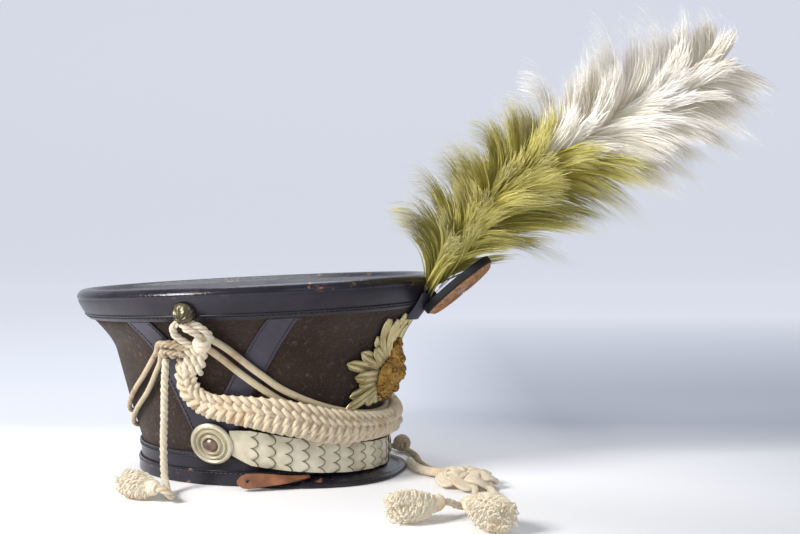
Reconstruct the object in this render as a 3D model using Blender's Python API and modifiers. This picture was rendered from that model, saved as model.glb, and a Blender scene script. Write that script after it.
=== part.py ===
"""A bell-topped military shako with its visor, front plate, cockade, feather plume, chin scales
and cap lines, standing on a flat surface. Metres, +Z up, front at +X, the wearer's left at +Y.
Each piece is its own closed solid. The origin is under the middle of the hat's own box."""

import math
from collections import namedtuple

import bmesh
import bpy
from mathutils import Matrix, Vector

# Clearances
GAP = 0.0003
LAY_GAP = 0.0005

# Crown: the felt shell and its leather
BASE_LENGTH, BASE_WIDTH = 0.198, 0.166
TOP_LENGTH, TOP_WIDTH = 0.299, 0.285
WALL_HEIGHT = 0.153
TOP_TILT = 0.0073
FELT = 0.0022
BAND = 0.0018
TOP_BAND_DEPTH = 0.018
BASE_BAND_DEPTH = 0.026
BINDING_DEPTH, BINDING = 0.012, 0.0014
TOP_LEATHER = 0.0022
ROLL_HEIGHT, ROLL_WIDTH = 0.0065, 0.013
TOP_DISH = 0.0035
WALL_SIDES = 36

# V straps on the sides
STRAP_WIDTH, STRAP = 0.024, 0.0016
STRAP_FOOT, STRAP_TOP = 0.0285, 0.131
STRAP_BACK_TURN, STRAP_FRONT_TURN = 19, 28.5
STRAP_CROTCH, STRAP_BENDS = 0.3, (0.45, 0.6, 0.72, 0.88)

# Visor
PEAK_REACH, PEAK_HALF_WIDTH = 0.128, 0.0875
PEAK_LEATHER, PEAK_RISE = 0.0026, 0.0085
PEAK_SQUARENESS = 2.5
PEAK_SWEEP = 80
PEAK_SIDES = 16
PEAK_CLEARANCE = 0.0008

# Front plate and its badge
PLATE_HEIGHT, PLATE_RADIUS = WALL_HEIGHT * 0.523, 0.061
SHORT_RAY = 0.8
RAY_HIGH = WALL_HEIGHT - TOP_BAND_DEPTH - PLATE_HEIGHT - 0.003
RAY_LOW = 0.019
PLATE_GAP, PLATE_METAL, RAY_RIDGE = 0.0013, 0.0012, 0.0013
RAYS = 20
BADGE_WIDTH, BADGE_HEIGHT, BADGE_BULGE = 0.050, 0.052, 0.012
BADGE_RAISE, BADGE_METAL, BADGE_GAP = 0.0045, 0.0011, 0.0014

# Plume socket, stem, cockade and plume
SOCKET_WIDTH, SOCKET_LOW, SOCKET_HIGH = 0.019, WALL_HEIGHT - 0.028, WALL_HEIGHT - 0.008
SOCKET_ARCH, SOCKET_LEATHER = 0.0050, 0.0018
TOP_RAY = SOCKET_LOW - PLATE_HEIGHT - 0.0035
STEM_DIAMETER = 0.003
COCKADE_LENGTH, COCKADE_WIDTH = 0.069, 0.045
COCKADE_BACK, COCKADE_FACE = 0.0065, 0.0035
COCKADE_LEAN = 40
COCKADE_AHEAD, COCKADE_ABOVE = 0.0300, -0.0050
COCKADE_SHANK = 0.006
PLUME_LENGTH, PLUME_WIDTH, PLUME_DEPTH = 0.312, 0.136, 0.100
PLUME_FOOT_AHEAD = 0.0065
PLUME_START_RISE, PLUME_END_RISE = 58, 28
PLUME_SPLIT = 0.47
PLUME_CORE = 0.2

# Chin scales
BOSS_DIAMETER, BOSS_HEIGHT, BOSS_AT = 0.036, 0.0075, 0.036
RIVET_DIAMETER, RIVET_DOME = 0.012, 0.004
SCALE_SIDE_HEIGHT, SCALE_FRONT_HEIGHT = 0.029, 0.022
SCALE_FRONT_AT = 0.0185
SCALE_STAND_OFF = 0.012
SCALE_METAL, SCALE_STEP = 0.0012, 0.0016
SCALE_LOBE = 0.005
SCALES_A_SIDE = 10
LINING = 0.0016

# Leather tie
TIE_LEATHER = 0.002

# Cap lines
BUTTON_DIAMETER, BUTTON_DOME, BUTTON_AT = 0.018, 0.010, 0.1435
PLAIT_HEIGHT, PLAIT_DEPTH = 0.031, 0.012
FESTOON_DIAMETER = 0.0055
BACK_CORD_DIAMETER = 0.0042
TAIL_DIAMETER = 0.0065
FRONT_CORD_DIAMETER = 0.0058
KNOT_WIDTH, KNOT_DEPTH = 0.017, 0.015
WRAP_WIDTH, WRAP_DEPTH = 0.017, 0.014
SLIDE_DIAMETER = 0.016
FLOUNDER_LENGTH, FLOUNDER_WIDTH, FLOUNDER_DEPTH = 0.062, 0.048, 0.016
TASSEL_SIDES = 12
CORD_STEP, TAIL_STEP = 3.0, 1.3
KNOT_STEP, WRAP_STEP = 0.0035, 0.004
TAIL_TASSEL, TASSEL_A, TASSEL_B = 0.0108, 0.0118, 0.0128
# the Spot heights are given for a wall this high, and follow it
LINE_STRETCH = WALL_HEIGHT / 0.153

# The crown's outline: shares of its height, and of the way from the base oval to the top oval
Level = namedtuple("Level", "height flare")
LEVELS = (
    Level(0.00, 0.00),
    Level(0.14, 0.00),
    Level(0.40, 0.22),
    Level(0.72, 0.45),
    Level(0.80, 0.60),
    Level(0.88, 0.80),
    Level(0.94, 0.93),
    Level(1.00, 1.00),
)

# The top leather from its middle out over the roll: shares of the roll's width and height
Roll = namedtuple("Roll", "inset rise")
ROLL = (
    Roll(2.6, 0.02),
    Roll(1.0, 0.22),
    Roll(0.72, 0.72),
    Roll(0.38, 1.00),
    Roll(0.06, 0.66),
    Roll(0.0, 0.0),
)

# The plume's outline: shares of its length and of its half width
Girth = namedtuple("Girth", "along width")
PLUME_OUTLINE = (
    Girth(0.00, 0.12),
    Girth(0.06, 0.42),
    Girth(0.12, 0.70),
    Girth(0.22, 0.95),
    Girth(0.36, 1.00),
    Girth(0.65, 1.00),
    Girth(0.82, 0.86),
    Girth(0.94, 0.70),
    Girth(1.00, 0.40),
)

# Rows of feather locks: where each is rooted, its reach along the plume, how many there are
Tier = namedtuple("Tier", "root reach locks turn")
GREEN_TIERS = (
    Tier(0.05, 0.14, 6, 0.0),
    Tier(0.15, 0.20, 6, 0.5),
    Tier(0.27, 0.19, 6, 0.0),
    Tier(0.40, 0.18, 6, 0.5),
)
WHITE_TIERS = (
    Tier(0.54, 0.18, 6, 0.0),
    Tier(0.66, 0.18, 6, 0.5),
    Tier(0.78, 0.16, 6, 0.0),
    Tier(0.89, 0.11, 5, 0.5),
)

# Turned profiles: shares of the piece's radius and height, from the top of its axis down
Turn = namedtuple("Turn", "radius height")
BOSS_TURN = (
    Turn(0.34, 0.60),
    Turn(0.44, 0.80),
    Turn(0.56, 0.66),
    Turn(0.68, 0.84),
    Turn(0.86, 0.62),
    Turn(1.00, 0.40),
    Turn(0.97, 0.25),
    Turn(0.50, 0.18),
    Turn(0.46, 0.0),
)
DOME_TURN = (
    Turn(0.50, 0.90),
    Turn(0.86, 0.52),
    Turn(1.00, 0.14),
    Turn(0.96, 0.0),
)

# The badge's outline, from its middle up and round: a shield under a plain coronet
Edge = namedtuple("Edge", "across up")
BADGE_EDGE = (
    Edge(0.00, 1.00),
    Edge(0.24, 0.92),
    Edge(0.36, 0.72),
    Edge(0.30, 0.52),
    Edge(0.62, 0.38),
    Edge(0.92, 0.20),
    Edge(1.00, -0.14),
    Edge(0.86, -0.52),
    Edge(0.50, -0.84),
    Edge(0.00, -1.00),
)

# Routes on the wall: degrees from the front, height, stand-off to the middle of the cord
Spot = namedtuple("Spot", "turn height out")
PLAIT_ROUTE = (
    Spot(94, 0.1005, 0.0090),
    Spot(95.5, 0.089, 0.0088),
    Spot(94, 0.076, 0.0088),
    Spot(88, 0.067, 0.0090),
    Spot(79, 0.0640, 0.0104),
    Spot(68, 0.0610, 0.0138),
    Spot(54, 0.0550, 0.0146),
    Spot(40, 0.0480, 0.0142),
    Spot(20, 0.0445, 0.0142),
    Spot(0, 0.0440, 0.0142),
)
PLAIT_SHARE = (0.62, 0.66, 0.74, 0.88, 1.0, 1.0, 1.0, 0.88, 0.8, 0.78)
FESTOON_UPPER_ROUTE = (
    Spot(83.2, 0.1200, 0.0105),
    Spot(80.0, 0.1135, 0.0080),
    Spot(75, 0.1030, 0.0060),
    Spot(68, 0.0905, 0.0056),
    Spot(58, 0.0760, 0.0042),
    Spot(41, 0.0620, 0.0036),
    Spot(20, 0.0535, 0.0036),
    Spot(0, 0.0515, 0.0036),
)
FESTOON_LOWER_ROUTE = (
    Spot(83.4, 0.1085, 0.0100),
    Spot(80.5, 0.1020, 0.0075),
    Spot(76, 0.0930, 0.0060),
    Spot(70, 0.0830, 0.0060),
    Spot(64, 0.0740, 0.0044),
    Spot(58, 0.0670, 0.0036),
    Spot(42, 0.0540, 0.0036),
    Spot(20, 0.0460, 0.0036),
    Spot(0, 0.0440, 0.0036),
)
BACK_UPPER_ROUTE = (
    Spot(104.3, 0.1150, 0.0085),
    Spot(108.5, 0.1060, 0.0066),
    Spot(122, 0.0840, 0.0034),
    Spot(144, 0.0590, 0.0030),
    Spot(164, 0.0470, 0.0030),
    Spot(180, 0.0440, 0.0030),
)
BACK_LOWER_ROUTE = (
    Spot(104.5, 0.1085, 0.0085),
    Spot(108.5, 0.0960, 0.0060),
    Spot(122, 0.0700, 0.0034),
    Spot(146, 0.0450, 0.0030),
    Spot(165, 0.0345, 0.0030),
    Spot(180, 0.0325, 0.0030),
)

# Free cords: points in metres about the middle of the hat's foot, chosen by hand
TAIL_ROUTE = (
    (-0.0282, -0.1152, 0.1023),
    (-0.0290, -0.1160, 0.0850),
    (-0.0300, -0.1150, 0.0600),
    (-0.0310, -0.1145, 0.0350),
    (-0.0270, -0.1210, 0.0120),
    (-0.0170, -0.1350, 0.0040),
    (-0.0090, -0.1450, 0.0037),
    (-0.0060, -0.1535, 0.0062),
    (-0.0088, -0.1564, 0.0100),
    (-0.0148, -0.1548, 0.0109),
)
TAIL_TASSEL_FROM, TAIL_TASSEL_TO = (-0.0165, -0.1541, 0.0109), (-0.0500, -0.1420, 0.0109)
FRONT_CORD_ROUTE = (
    (-0.0282, 0.1152, 0.1024),
    (-0.0300, 0.1165, 0.0820),
    (-0.0260, 0.1150, 0.0500),
    (-0.0080, 0.1150, 0.0200),
    (0.0220, 0.1180, 0.0048),
    (0.0520, 0.1150, 0.0033),
    (0.0780, 0.1060, 0.0033),
    (0.1040, 0.0900, 0.0034),
    (0.1240, 0.0620, 0.0033),
    (0.1370, 0.0300, 0.0033),
    (0.1520, 0.0060, 0.0036),
    (0.1697, -0.0128, 0.0050),
)
SLIDE_AT = 7
FLOUNDER_FROM, FLOUNDER_TO = (0.1700, -0.0130, 0.0085), (0.2150, -0.0560, 0.0085)
LEAD_A_ROUTE = (
    (0.2054, -0.0608, 0.0046),
    (0.2075, -0.0700, 0.0036),
    (0.2100, -0.0900, 0.0034),
    (0.2110, -0.1150, 0.0036),
    (0.2080, -0.1330, 0.0080),
    (0.2044, -0.1392, 0.0115),
    (0.2010, -0.1422, 0.0119),
)
LEAD_B_ROUTE = (
    (0.2150, -0.0563, 0.0046),
    (0.2200, -0.0640, 0.0036),
    (0.2260, -0.0850, 0.0034),
    (0.2240, -0.1150, 0.0036),
    (0.2180, -0.1320, 0.0080),
    (0.2144, -0.1392, 0.0122),
    (0.2173, -0.1430, 0.0128),
)
TASSEL_A_FROM, TASSEL_A_TO = (0.2000, -0.1430, 0.0120), (0.1690, -0.1700, 0.0120)
TASSEL_B_FROM, TASSEL_B_TO = (0.2190, -0.1450, 0.0130), (0.2520, -0.1800, 0.0130)
TIE_ROUTE = (
    (0.0734, -0.0692, 0.0078),
    (0.0610, -0.0855, 0.0080),
    (0.0480, -0.0930, 0.0082),
    (0.0360, -0.0990, 0.0078),
    (0.0260, -0.1035, 0.0072),
)
TIE_WIDTHS = (0.006, 0.009, 0.0125, 0.013, 0.003)
TIE_LEANS = (15, 45, 60, 66, 68)

# A tassel's outline: shares of its length and radius
TASSEL_OUTLINE = (
    Girth(0.00, 0.30),
    Girth(0.10, 0.55),
    Girth(0.22, 0.50),
    Girth(0.34, 0.84),
    Girth(0.62, 1.00),
    Girth(0.92, 0.96),
    Girth(1.00, 0.80),
)

COLOURS = {
    "felt": ((0.045, 0.034, 0.029), 0.95, 0.0),
    "patent": ((0.05, 0.048, 0.06), 0.3, 0.0),
    "lining": ((0.07, 0.05, 0.04), 0.7, 0.0),
    "tan": ((0.36, 0.12, 0.045), 0.6, 0.0),
    "pale_brass": ((0.55, 0.5, 0.32), 0.4, 0.9),
    "gilt": ((0.48, 0.2, 0.03), 0.45, 0.9),
    "ivory_metal": ((0.6, 0.57, 0.45), 0.45, 0.6),
    "black_cloth": ((0.01, 0.01, 0.012), 0.8, 0.0),
    "copper_silk": ((0.35, 0.12, 0.03), 0.6, 0.0),
    "wire": ((0.05, 0.05, 0.05), 0.5, 0.8),
    "cord": ((0.78, 0.66, 0.46), 0.8, 0.0),
    "green_feather": ((0.32, 0.29, 0.05), 0.8, 0.0),
    "white_feather": ((0.78, 0.75, 0.7), 0.8, 0.0),
}


def between(low, high, share):
    return low + (high - low) * share


def read_table(table, at):
    """The second column of a table at a place along its first, between its rows."""
    for before, after in zip(table, table[1:]):
        if at <= after[0]:
            share = (at - before[0]) / (after[0] - before[0])
            return between(before[1], after[1], max(0.0, share))
    return table[-1][1]


def half_sizes(height):
    flare = read_table(LEVELS, height / WALL_HEIGHT)
    return (
        between(BASE_LENGTH, TOP_LENGTH, flare) / 2,
        between(BASE_WIDTH, TOP_WIDTH, flare) / 2,
    )


def flare_stretch(height):
    """How much further out level with the ground a point lies than square to the flared wall."""
    step = 0.004
    low, high = max(0.0, height - step), min(WALL_HEIGHT, height + step)
    slope = (half_sizes(high)[0] - half_sizes(low)[0]) / (high - low)
    return math.hypot(1.0, slope)


def wall_point(turn, height, out=0.0):
    """A point off the felt: turn in degrees from the front towards the wearer's left."""
    angle = math.radians(turn)
    length, width = half_sizes(height)
    away = out * flare_stretch(height)
    lift = TOP_TILT * math.cos(angle) * (height / WALL_HEIGHT) ** 2
    return Vector(
        ((length + away) * math.cos(angle), (width + away) * math.sin(angle), height + lift)
    )


def wall_frame(turn, height, out=0.0):
    """A matrix whose Z points straight off the wall and whose Y points up along it."""
    step = 0.004
    along = wall_point(turn + 1, height) - wall_point(turn - 1, height)
    up = wall_point(turn, height + step) - wall_point(turn, height - step)
    off = along.cross(up).normalized()
    up = (up - up.dot(off) * off).normalized()
    frame = Matrix((up.cross(off), up, off)).transposed().to_4x4()
    frame.translation = wall_point(turn, height) + off * out
    return frame


def heights_between(low, high, more=()):
    """The crown's own levels from low to high, so that what lies on the wall bends with it."""
    inner = [level.height * WALL_HEIGHT for level in LEVELS]
    near = 0.0015
    rows = [low, high, *more]
    return sorted(rows + [h for h in inner if all(abs(h - r) > near for r in rows) and low < h < high])


def smooth_curve(points):
    """A fine curve through the points."""
    points = [Vector(p) for p in points]
    ends = [points[0] * 2 - points[1], *points, points[-1] * 2 - points[-2]]
    fine, steps = [], 12
    for a, b, c, d in zip(ends, ends[1:], ends[2:], ends[3:]):
        for i in range(steps):
            t = i / steps
            bend = (-a + b * 3 - c * 3 + d) * t**3 + (a * 2 - b * 5 + c * 4 - d) * t**2
            fine.append((bend + (c - a) * t) / 2 + b)
    fine.append(points[-1])
    return fine


def even_steps(line, spacing):
    lengths = [0.0]
    for a, b in zip(line, line[1:]):
        lengths.append(lengths[-1] + (b - a).length)
    count = max(2, round(lengths[-1] / spacing))
    result, j = [], 0
    for i in range(count + 1):
        want = lengths[-1] * i / count
        while j < len(line) - 2 and lengths[j + 1] < want:
            j += 1
        share = (want - lengths[j]) / (lengths[j + 1] - lengths[j])
        result.append(line[j].lerp(line[j + 1], min(1.0, share)))
    return result


def smooth_route(points, spacing):
    """A curve through the points, read at even steps of about the spacing."""
    return even_steps(smooth_curve(points), spacing)


def spot_points(spots, side):
    """The spots of one side as points: 1 left, -1 right."""
    return [wall_point(side * s.turn, s.height * LINE_STRETCH, s.out) for s in spots]


def wall_route(spots, spacing):
    """A route from the right side of the hat over its last Spot to the same place on the left."""
    middle = spots[-1].turn
    right = [(-s.turn, s.height * LINE_STRETCH, s.out) for s in spots]
    left = [(s.turn - 2 * middle, s.height * LINE_STRETCH, s.out) for s in reversed(spots[:-1])]
    degree = math.radians(BASE_LENGTH / 2)
    fine = smooth_curve([(t * degree, h, out) for t, h, out in right + left])
    return even_steps([wall_point(p.x / degree, p.y, p.z) for p in fine], spacing)


def clear_scene():
    for thing in list(bpy.data.objects):
        bpy.data.objects.remove(thing)


def add_collection(name):
    collection = bpy.data.collections.new(name)
    bpy.context.scene.collection.children.link(collection)
    return collection


def material(name):
    if name in bpy.data.materials:
        return bpy.data.materials[name]
    colour, roughness, metallic = COLOURS[name]
    made = bpy.data.materials.new(name)
    made.use_nodes = True
    shader = made.node_tree.nodes["Principled BSDF"]
    shader.inputs["Base Color"].default_value = (*colour, 1)
    shader.inputs["Roughness"].default_value = roughness
    shader.inputs["Metallic"].default_value = metallic
    return made


class Hat:
    """The collections and the empty that every piece hangs on."""

    def __init__(self):
        self.pieces = add_collection("shako")
        self.cutters = add_collection("cutters")
        self.root = bpy.data.objects.new("hat_middle", None)
        self.pieces.objects.link(self.root)

    def add(self, name, data, look):
        made = bpy.data.objects.new(name, data)
        data.materials.append(material(look))
        self.pieces.objects.link(made)
        made.parent = self.root
        return made

    def add_mesh(self, name, bm, look):
        mesh = bpy.data.meshes.new(name)
        bm.to_mesh(mesh)
        bm.free()
        mesh.shade_smooth()
        mesh.set_sharp_from_angle(angle=math.radians(40))
        return self.add(name, mesh, look)


def grid(rows, wrap=False):
    """An open surface through rows of points, each joined to the next."""
    bm = bmesh.new()
    lines = [[bm.verts.new(p) for p in row] for row in rows]
    for low, high in zip(lines, lines[1:]):
        count = len(low) if wrap else len(low) - 1
        for i in range(count):
            j = (i + 1) % len(low)
            bm.faces.new((low[i], low[j], high[j], high[i]))
    return bm


def sheet(hat, name, bm, thickness, look, side=1):
    """A surface that faces away from the hat's axis, thickened outwards (1) or inwards (-1)."""
    bmesh.ops.remove_doubles(bm, verts=bm.verts, dist=1e-6)
    bmesh.ops.recalc_face_normals(bm, faces=bm.faces)
    bm.normal_update()
    outward = sum(
        f.normal.dot(Vector((f.calc_center_median().x, f.calc_center_median().y, 0.2)))
        for f in bm.faces
    )
    if outward < 0:
        bmesh.ops.reverse_faces(bm, faces=bm.faces)
    made = hat.add_mesh(name, bm, look)
    shell = made.modifiers.new("thickness", "SOLIDIFY")
    shell.thickness = thickness
    shell.offset = side
    return made


def loft(sections, capped=True):
    """A closed solid through rings of points."""
    bm = grid(sections, wrap=True)
    if capped:
        size = len(sections[0])
        bm.verts.ensure_lookup_table()
        bm.faces.new(bm.verts[:size])
        bm.faces.new(bm.verts[-size:])
    bmesh.ops.recalc_face_normals(bm, faces=bm.faces)
    return bm


def oval(middle, across, up, half_across, half_up, sides):
    """A ring of points round a middle."""
    ring = []
    for i in range(sides):
        a = 2 * math.pi * i / sides
        ring.append(middle + across * half_across * math.cos(a) + up * half_up * math.sin(a))
    return ring


def turned(hat, name, profile, radius, height, look, frame, hollow=None):
    """A turned piece: its profile is spun about Z, then placed by a frame."""
    first = [(0.0, 1.0)] if hollow is None else [(0.0, hollow), (profile[0].radius, hollow)]
    points = [(r * radius, h * height) for r, h in first + [tuple(t) for t in profile] + [(0, 0)]]
    mesh = bpy.data.meshes.new(name)
    edges = [(i, i + 1) for i in range(len(points) - 1)]
    mesh.from_pydata([(r, 0, z) for r, z in points], edges, [])
    made = hat.add(name, mesh, look)
    made.matrix_local = frame
    spin = made.modifiers.new("spin", "SCREW")
    spin.steps = spin.render_steps = 16
    spin.use_merge_vertices = True
    spin.merge_threshold = 1e-5
    spin.use_smooth_shade = True
    return made


def tube(hat, name, points, diameter, look):
    curve = bpy.data.curves.new(name, "CURVE")
    curve.dimensions = "3D"
    line = curve.splines.new("POLY")
    line.points.add(len(points) - 1)
    for point, place in zip(line.points, points):
        point.co = (*place, 1)
    curve.bevel_depth = diameter / 2
    curve.bevel_resolution = 2
    curve.use_fill_caps = True
    return hat.add(name, curve, look)


def cord(hat, name, route, diameter, step=CORD_STEP):
    return tube(hat, name, smooth_route(route, diameter * step), diameter, "cord")


def wall_cord(hat, name, spots, diameter):
    return tube(hat, name, wall_route(spots, diameter * CORD_STEP), diameter, "cord")


# Crown


def wall_rows(heights, out):
    turns = [360 * i / WALL_SIDES for i in range(WALL_SIDES)]
    return [[wall_point(t, h, out) for t in turns] for h in heights]


def build_crown(hat):
    heights = heights_between(0, WALL_HEIGHT)
    sheet(hat, "crown_wall", grid(wall_rows(heights, 0), True), FELT, "felt", -1)
    low = WALL_HEIGHT - TOP_BAND_DEPTH
    rows = wall_rows(heights_between(low, WALL_HEIGHT), LAY_GAP)
    sheet(hat, "top_band", grid(rows, True), BAND, "patent")
    rows = wall_rows(heights_between(0, BASE_BAND_DEPTH), LAY_GAP)
    sheet(hat, "base_band", grid(rows, True), BAND, "patent")
    rows = wall_rows((0, BINDING_DEPTH), LAY_GAP * 2 + BAND)
    sheet(hat, "base_binding", grid(rows, True), BINDING, "patent")


def build_crown_top(hat):
    edge_out = LAY_GAP + BAND
    turns = [360 * i / WALL_SIDES for i in range(WALL_SIDES)]
    rows = []
    for roll in ROLL:
        row = []
        for turn in turns:
            point = wall_point(turn, WALL_HEIGHT, edge_out)
            inward = Vector((-point.x, -point.y, 0)).normalized() * roll.inset * ROLL_WIDTH
            lift = roll.rise * ROLL_HEIGHT - (TOP_DISH if roll.inset > 1.5 else 0)
            row.append(point + inward + Vector((0, 0, lift + GAP * 1.5)))
        rows.append(row)
    bm = grid(rows, True)
    bm.verts.ensure_lookup_table()
    bmesh.ops.contextual_create(bm, geom=bm.verts[:WALL_SIDES])
    sheet(hat, "crown_top", bm, TOP_LEATHER, "patent", -1)


def build_v_strap(hat, name, side):
    """Two arms that rise from one point behind the chin boss; side is 1 left, -1 right."""
    rise = STRAP_TOP - STRAP_FOOT
    crotch, *bends = (STRAP_FOOT + share * rise for share in (STRAP_CROTCH, *STRAP_BENDS))
    heights = heights_between(STRAP_FOOT, STRAP_TOP, (crotch, *bends))
    arms = []
    for arm_turn in (STRAP_BACK_TURN, -STRAP_FRONT_TURN):
        rows = []
        for height in heights:
            share = (height - STRAP_FOOT) / rise
            half = math.degrees(STRAP_WIDTH / 2 / half_sizes(height)[0])
            middle = 90 + (STRAP_BACK_TURN - STRAP_FRONT_TURN) / 2 * share
            centre = 90 + arm_turn * share
            outer = centre + math.copysign(half, arm_turn)
            inner = centre - math.copysign(half, arm_turn)
            if height <= crotch + 1e-6:
                inner = middle
            turns = (outer, between(outer, inner, 0.5), inner)
            rows.append([wall_point(side * t, height, LAY_GAP) for t in turns])
        arms.append(grid(rows))
    bm = bmesh.new()
    for arm in arms:
        mesh = bpy.data.meshes.new("arm")
        arm.to_mesh(mesh)
        arm.free()
        bm.from_mesh(mesh)
        bpy.data.meshes.remove(mesh)
    sheet(hat, name, bm, STRAP, "patent")


def peak_edge(turn):
    """The visor's outer edge, a squarish half oval."""
    power = 2 / PEAK_SQUARENESS
    c, s = math.cos(math.radians(turn)), math.sin(math.radians(turn))
    return Vector(
        (PEAK_REACH * abs(c) ** power, math.copysign(PEAK_HALF_WIDTH * abs(s) ** power, s), 0)
    )


def build_peak(hat):
    foot_out = LAY_GAP * 2 + BAND + BINDING + PEAK_CLEARANCE
    length, width = (half + foot_out for half in half_sizes(BINDING_DEPTH))
    rows = []
    for i in range(PEAK_SIDES + 1):
        outer = peak_edge(PEAK_SWEEP * (2 * i / PEAK_SIDES - 1))
        turn = math.atan2(outer.y / width, outer.x / length)
        inner = Vector((length * math.cos(turn), width * math.sin(turn), 0))
        reach = (outer - inner).length / (PEAK_REACH - length)
        rise = Vector((0, 0, PEAK_RISE * min(1.0, reach)))
        row = [inner + rise * (1 - share) ** 1.5 + (outer - inner) * share for share in (0, 0.3, 0.65, 1)]
        rows.append([p + Vector((0, 0, PEAK_LEATHER)) for p in row])
    thin = Vector((0, 0, PEAK_LEATHER))
    sections = [row + [p - thin for p in reversed(row)] for row in rows]
    hat.add_mesh("peak", loft(sections), "patent")


# Front plate


def plate_point(across, up, out):
    height = PLATE_HEIGHT + up
    return wall_point(math.degrees(across / half_sizes(height)[1]), height, out)


def ray_length(index):
    """Long and short rays in turn; those under the plume socket and the braid are cut short."""
    angle = 90 + 360 / RAYS * index
    down = math.sin(math.radians(angle))
    length = PLATE_RADIUS * (1.0 if index % 2 else SHORT_RAY)
    if index == 0:
        return TOP_RAY
    if down < -0.3:
        return min(length, RAY_LOW / -down)
    return min(length, RAY_HIGH / max(down, 0.1))


def build_ray_plate(hat):
    rings = (0.3, 0.55, 0.8, 1.0)
    ridge = (0.4, 0.6, 1.0, 0.1)
    fan = (0.5, 0.5, 0.42, 0.06)
    rows_top, rows_back = [], []
    for ring in range(len(rings)):
        top, back = [], []
        for index in range(RAYS):
            for part in (-1, 0, 1):
                angle = math.radians(90 + 360 / RAYS * (index + part * fan[ring] * 0.9))
                reach = ray_length(index) * (rings[ring] if ring < 2 or part == 0 else rings[ring] - 0.03)
                if ring < 2:
                    reach = rings[ring] * PLATE_RADIUS * 0.62
                across, up = reach * math.cos(angle), reach * math.sin(angle)
                lift = RAY_RIDGE * (ridge[ring] if part == 0 else 0.15)
                top.append(plate_point(across, up, PLATE_GAP + PLATE_METAL + lift))
                back.append(plate_point(across, up, PLATE_GAP))
        rows_top.append(top)
        rows_back.append(back)
    bm = grid(rows_top + rows_back[::-1], True)
    bm.verts.ensure_lookup_table()
    size = RAYS * 3
    bmesh.ops.contextual_create(bm, geom=bm.verts[:size])
    bmesh.ops.contextual_create(bm, geom=bm.verts[-size:])
    bmesh.ops.recalc_face_normals(bm, faces=bm.faces)
    hat.add_mesh("ray_plate", bm, "pale_brass")


def build_badge(hat):
    """A stamped shell: the outline shrunk towards its middle while it bulges out."""
    edge = [(e.across, e.up) for e in BADGE_EDGE]
    edge += [(-e.across, e.up) for e in reversed(BADGE_EDGE[1:-1])]
    seat = PLATE_GAP + PLATE_METAL + RAY_RIDGE + BADGE_GAP
    sections = []
    for share, bulge in ((1.0, 0.0), (0.96, 0.30), (0.82, 0.62), (0.56, 0.88), (0.26, 1.0)):
        ring = []
        for across, up in edge:
            point = plate_point(
                across * share * BADGE_WIDTH / 2,
                BADGE_RAISE + up * share * BADGE_HEIGHT / 2,
                seat + BADGE_BULGE * bulge,
            )
            ring.append(point)
        sections.append(ring)
    bm = grid(sections, True)
    bm.verts.ensure_lookup_table()
    bmesh.ops.contextual_create(bm, geom=bm.verts[-len(edge) :])
    sheet(hat, "plate_badge", bm, BADGE_METAL, "gilt")


# Plume socket, cockade and plume


def front_point(height, out):
    return wall_point(0, height, out)


def build_socket(hat):
    seat = LAY_GAP + BAND + GAP * 2
    rows = []
    for height in heights_between(SOCKET_LOW, SOCKET_HIGH):
        half = math.degrees(SOCKET_WIDTH / 2 / half_sizes(height)[1])
        row = []
        for share in (-1, -0.62, -0.3, 0, 0.3, 0.62, 1):
            arch = SOCKET_ARCH * (1 - abs(share) ** 2.5)
            row.append(wall_point(share * half, height, seat + arch))
        rows.append(row)
    sheet(hat, "plume_socket", grid(rows), SOCKET_LEATHER, "patent")


def plume_foot():
    rim = front_point(WALL_HEIGHT, LAY_GAP + BAND)
    return rim + Vector((PLUME_FOOT_AHEAD, 0, 0))


def plume_axis(share):
    """The plume's own line, which starts steep and leans forward; also its direction."""
    place, steps = plume_foot(), 60
    heading = Vector((1, 0, 0))
    for i in range(steps):
        at = (i + 0.5) / steps * share
        ease = min(1.0, at / 0.55)
        ease = ease * ease * (3 - 2 * ease)
        rise = math.radians(between(PLUME_START_RISE, PLUME_END_RISE, ease))
        heading = Vector((math.cos(rise), 0, math.sin(rise)))
        place = place + heading * (PLUME_LENGTH * share / steps)
    return place, heading


def plume_point(share, turn, out):
    """A point round the plume's line: out is a share of its half width there."""
    place, heading = plume_axis(share)
    up = Vector((-heading.z, 0, heading.x))
    wide = out * PLUME_WIDTH / 2
    deep = out * PLUME_DEPTH / 2
    return place + up * wide * math.cos(turn) + Vector((0, 1, 0)) * deep * math.sin(turn)


def plume_core(start, end):
    sections = []
    steps = 5
    for i in range(steps + 1):
        share = between(start, end, i / steps)
        out = PLUME_CORE * min(1.0, 0.2 + read_table(PLUME_OUTLINE, share))
        sections.append([plume_point(share, math.radians(45 * k), out) for k in range(8)])
    return loft(sections)


def feather_lock(tier, index):
    """One flat tapering lock, swept forward from the core and curling out at its end."""
    turn = 2 * math.pi * (index + tier.turn) / tier.locks
    sections = []
    for step, girth in ((0.0, 0.4), (0.55, 1.0), (1.0, 0.3)):
        share = min(1.0, tier.root + tier.reach * step)
        reach = read_table(PLUME_OUTLINE, min(1.0, tier.root + tier.reach))
        out = between(PLUME_CORE * 0.2, reach, step**0.8)
        spread = 0.5 * girth
        thick = 0.05 * girth + 0.01
        ring = [
            plume_point(share, turn - spread, out),
            plume_point(share, turn, out + thick),
            plume_point(share, turn + spread, out),
            plume_point(share, turn, max(0.02, out - thick)),
        ]
        sections.append(ring)
    return loft(sections)


def meets_cockade(tier, index):
    """Whether a lock would end beside or below the cockade, which lies under the plume's foot."""
    tip = plume_point(tier.root + tier.reach, 2 * math.pi * (index + tier.turn) / tier.locks,
                      read_table(PLUME_OUTLINE, tier.root + tier.reach))
    middle, along, face = cockade_frame()
    off = tip - middle
    return off.dot(face) > -COCKADE_BACK * 3.4 and off.dot(along) < COCKADE_LENGTH * 0.85


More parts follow.
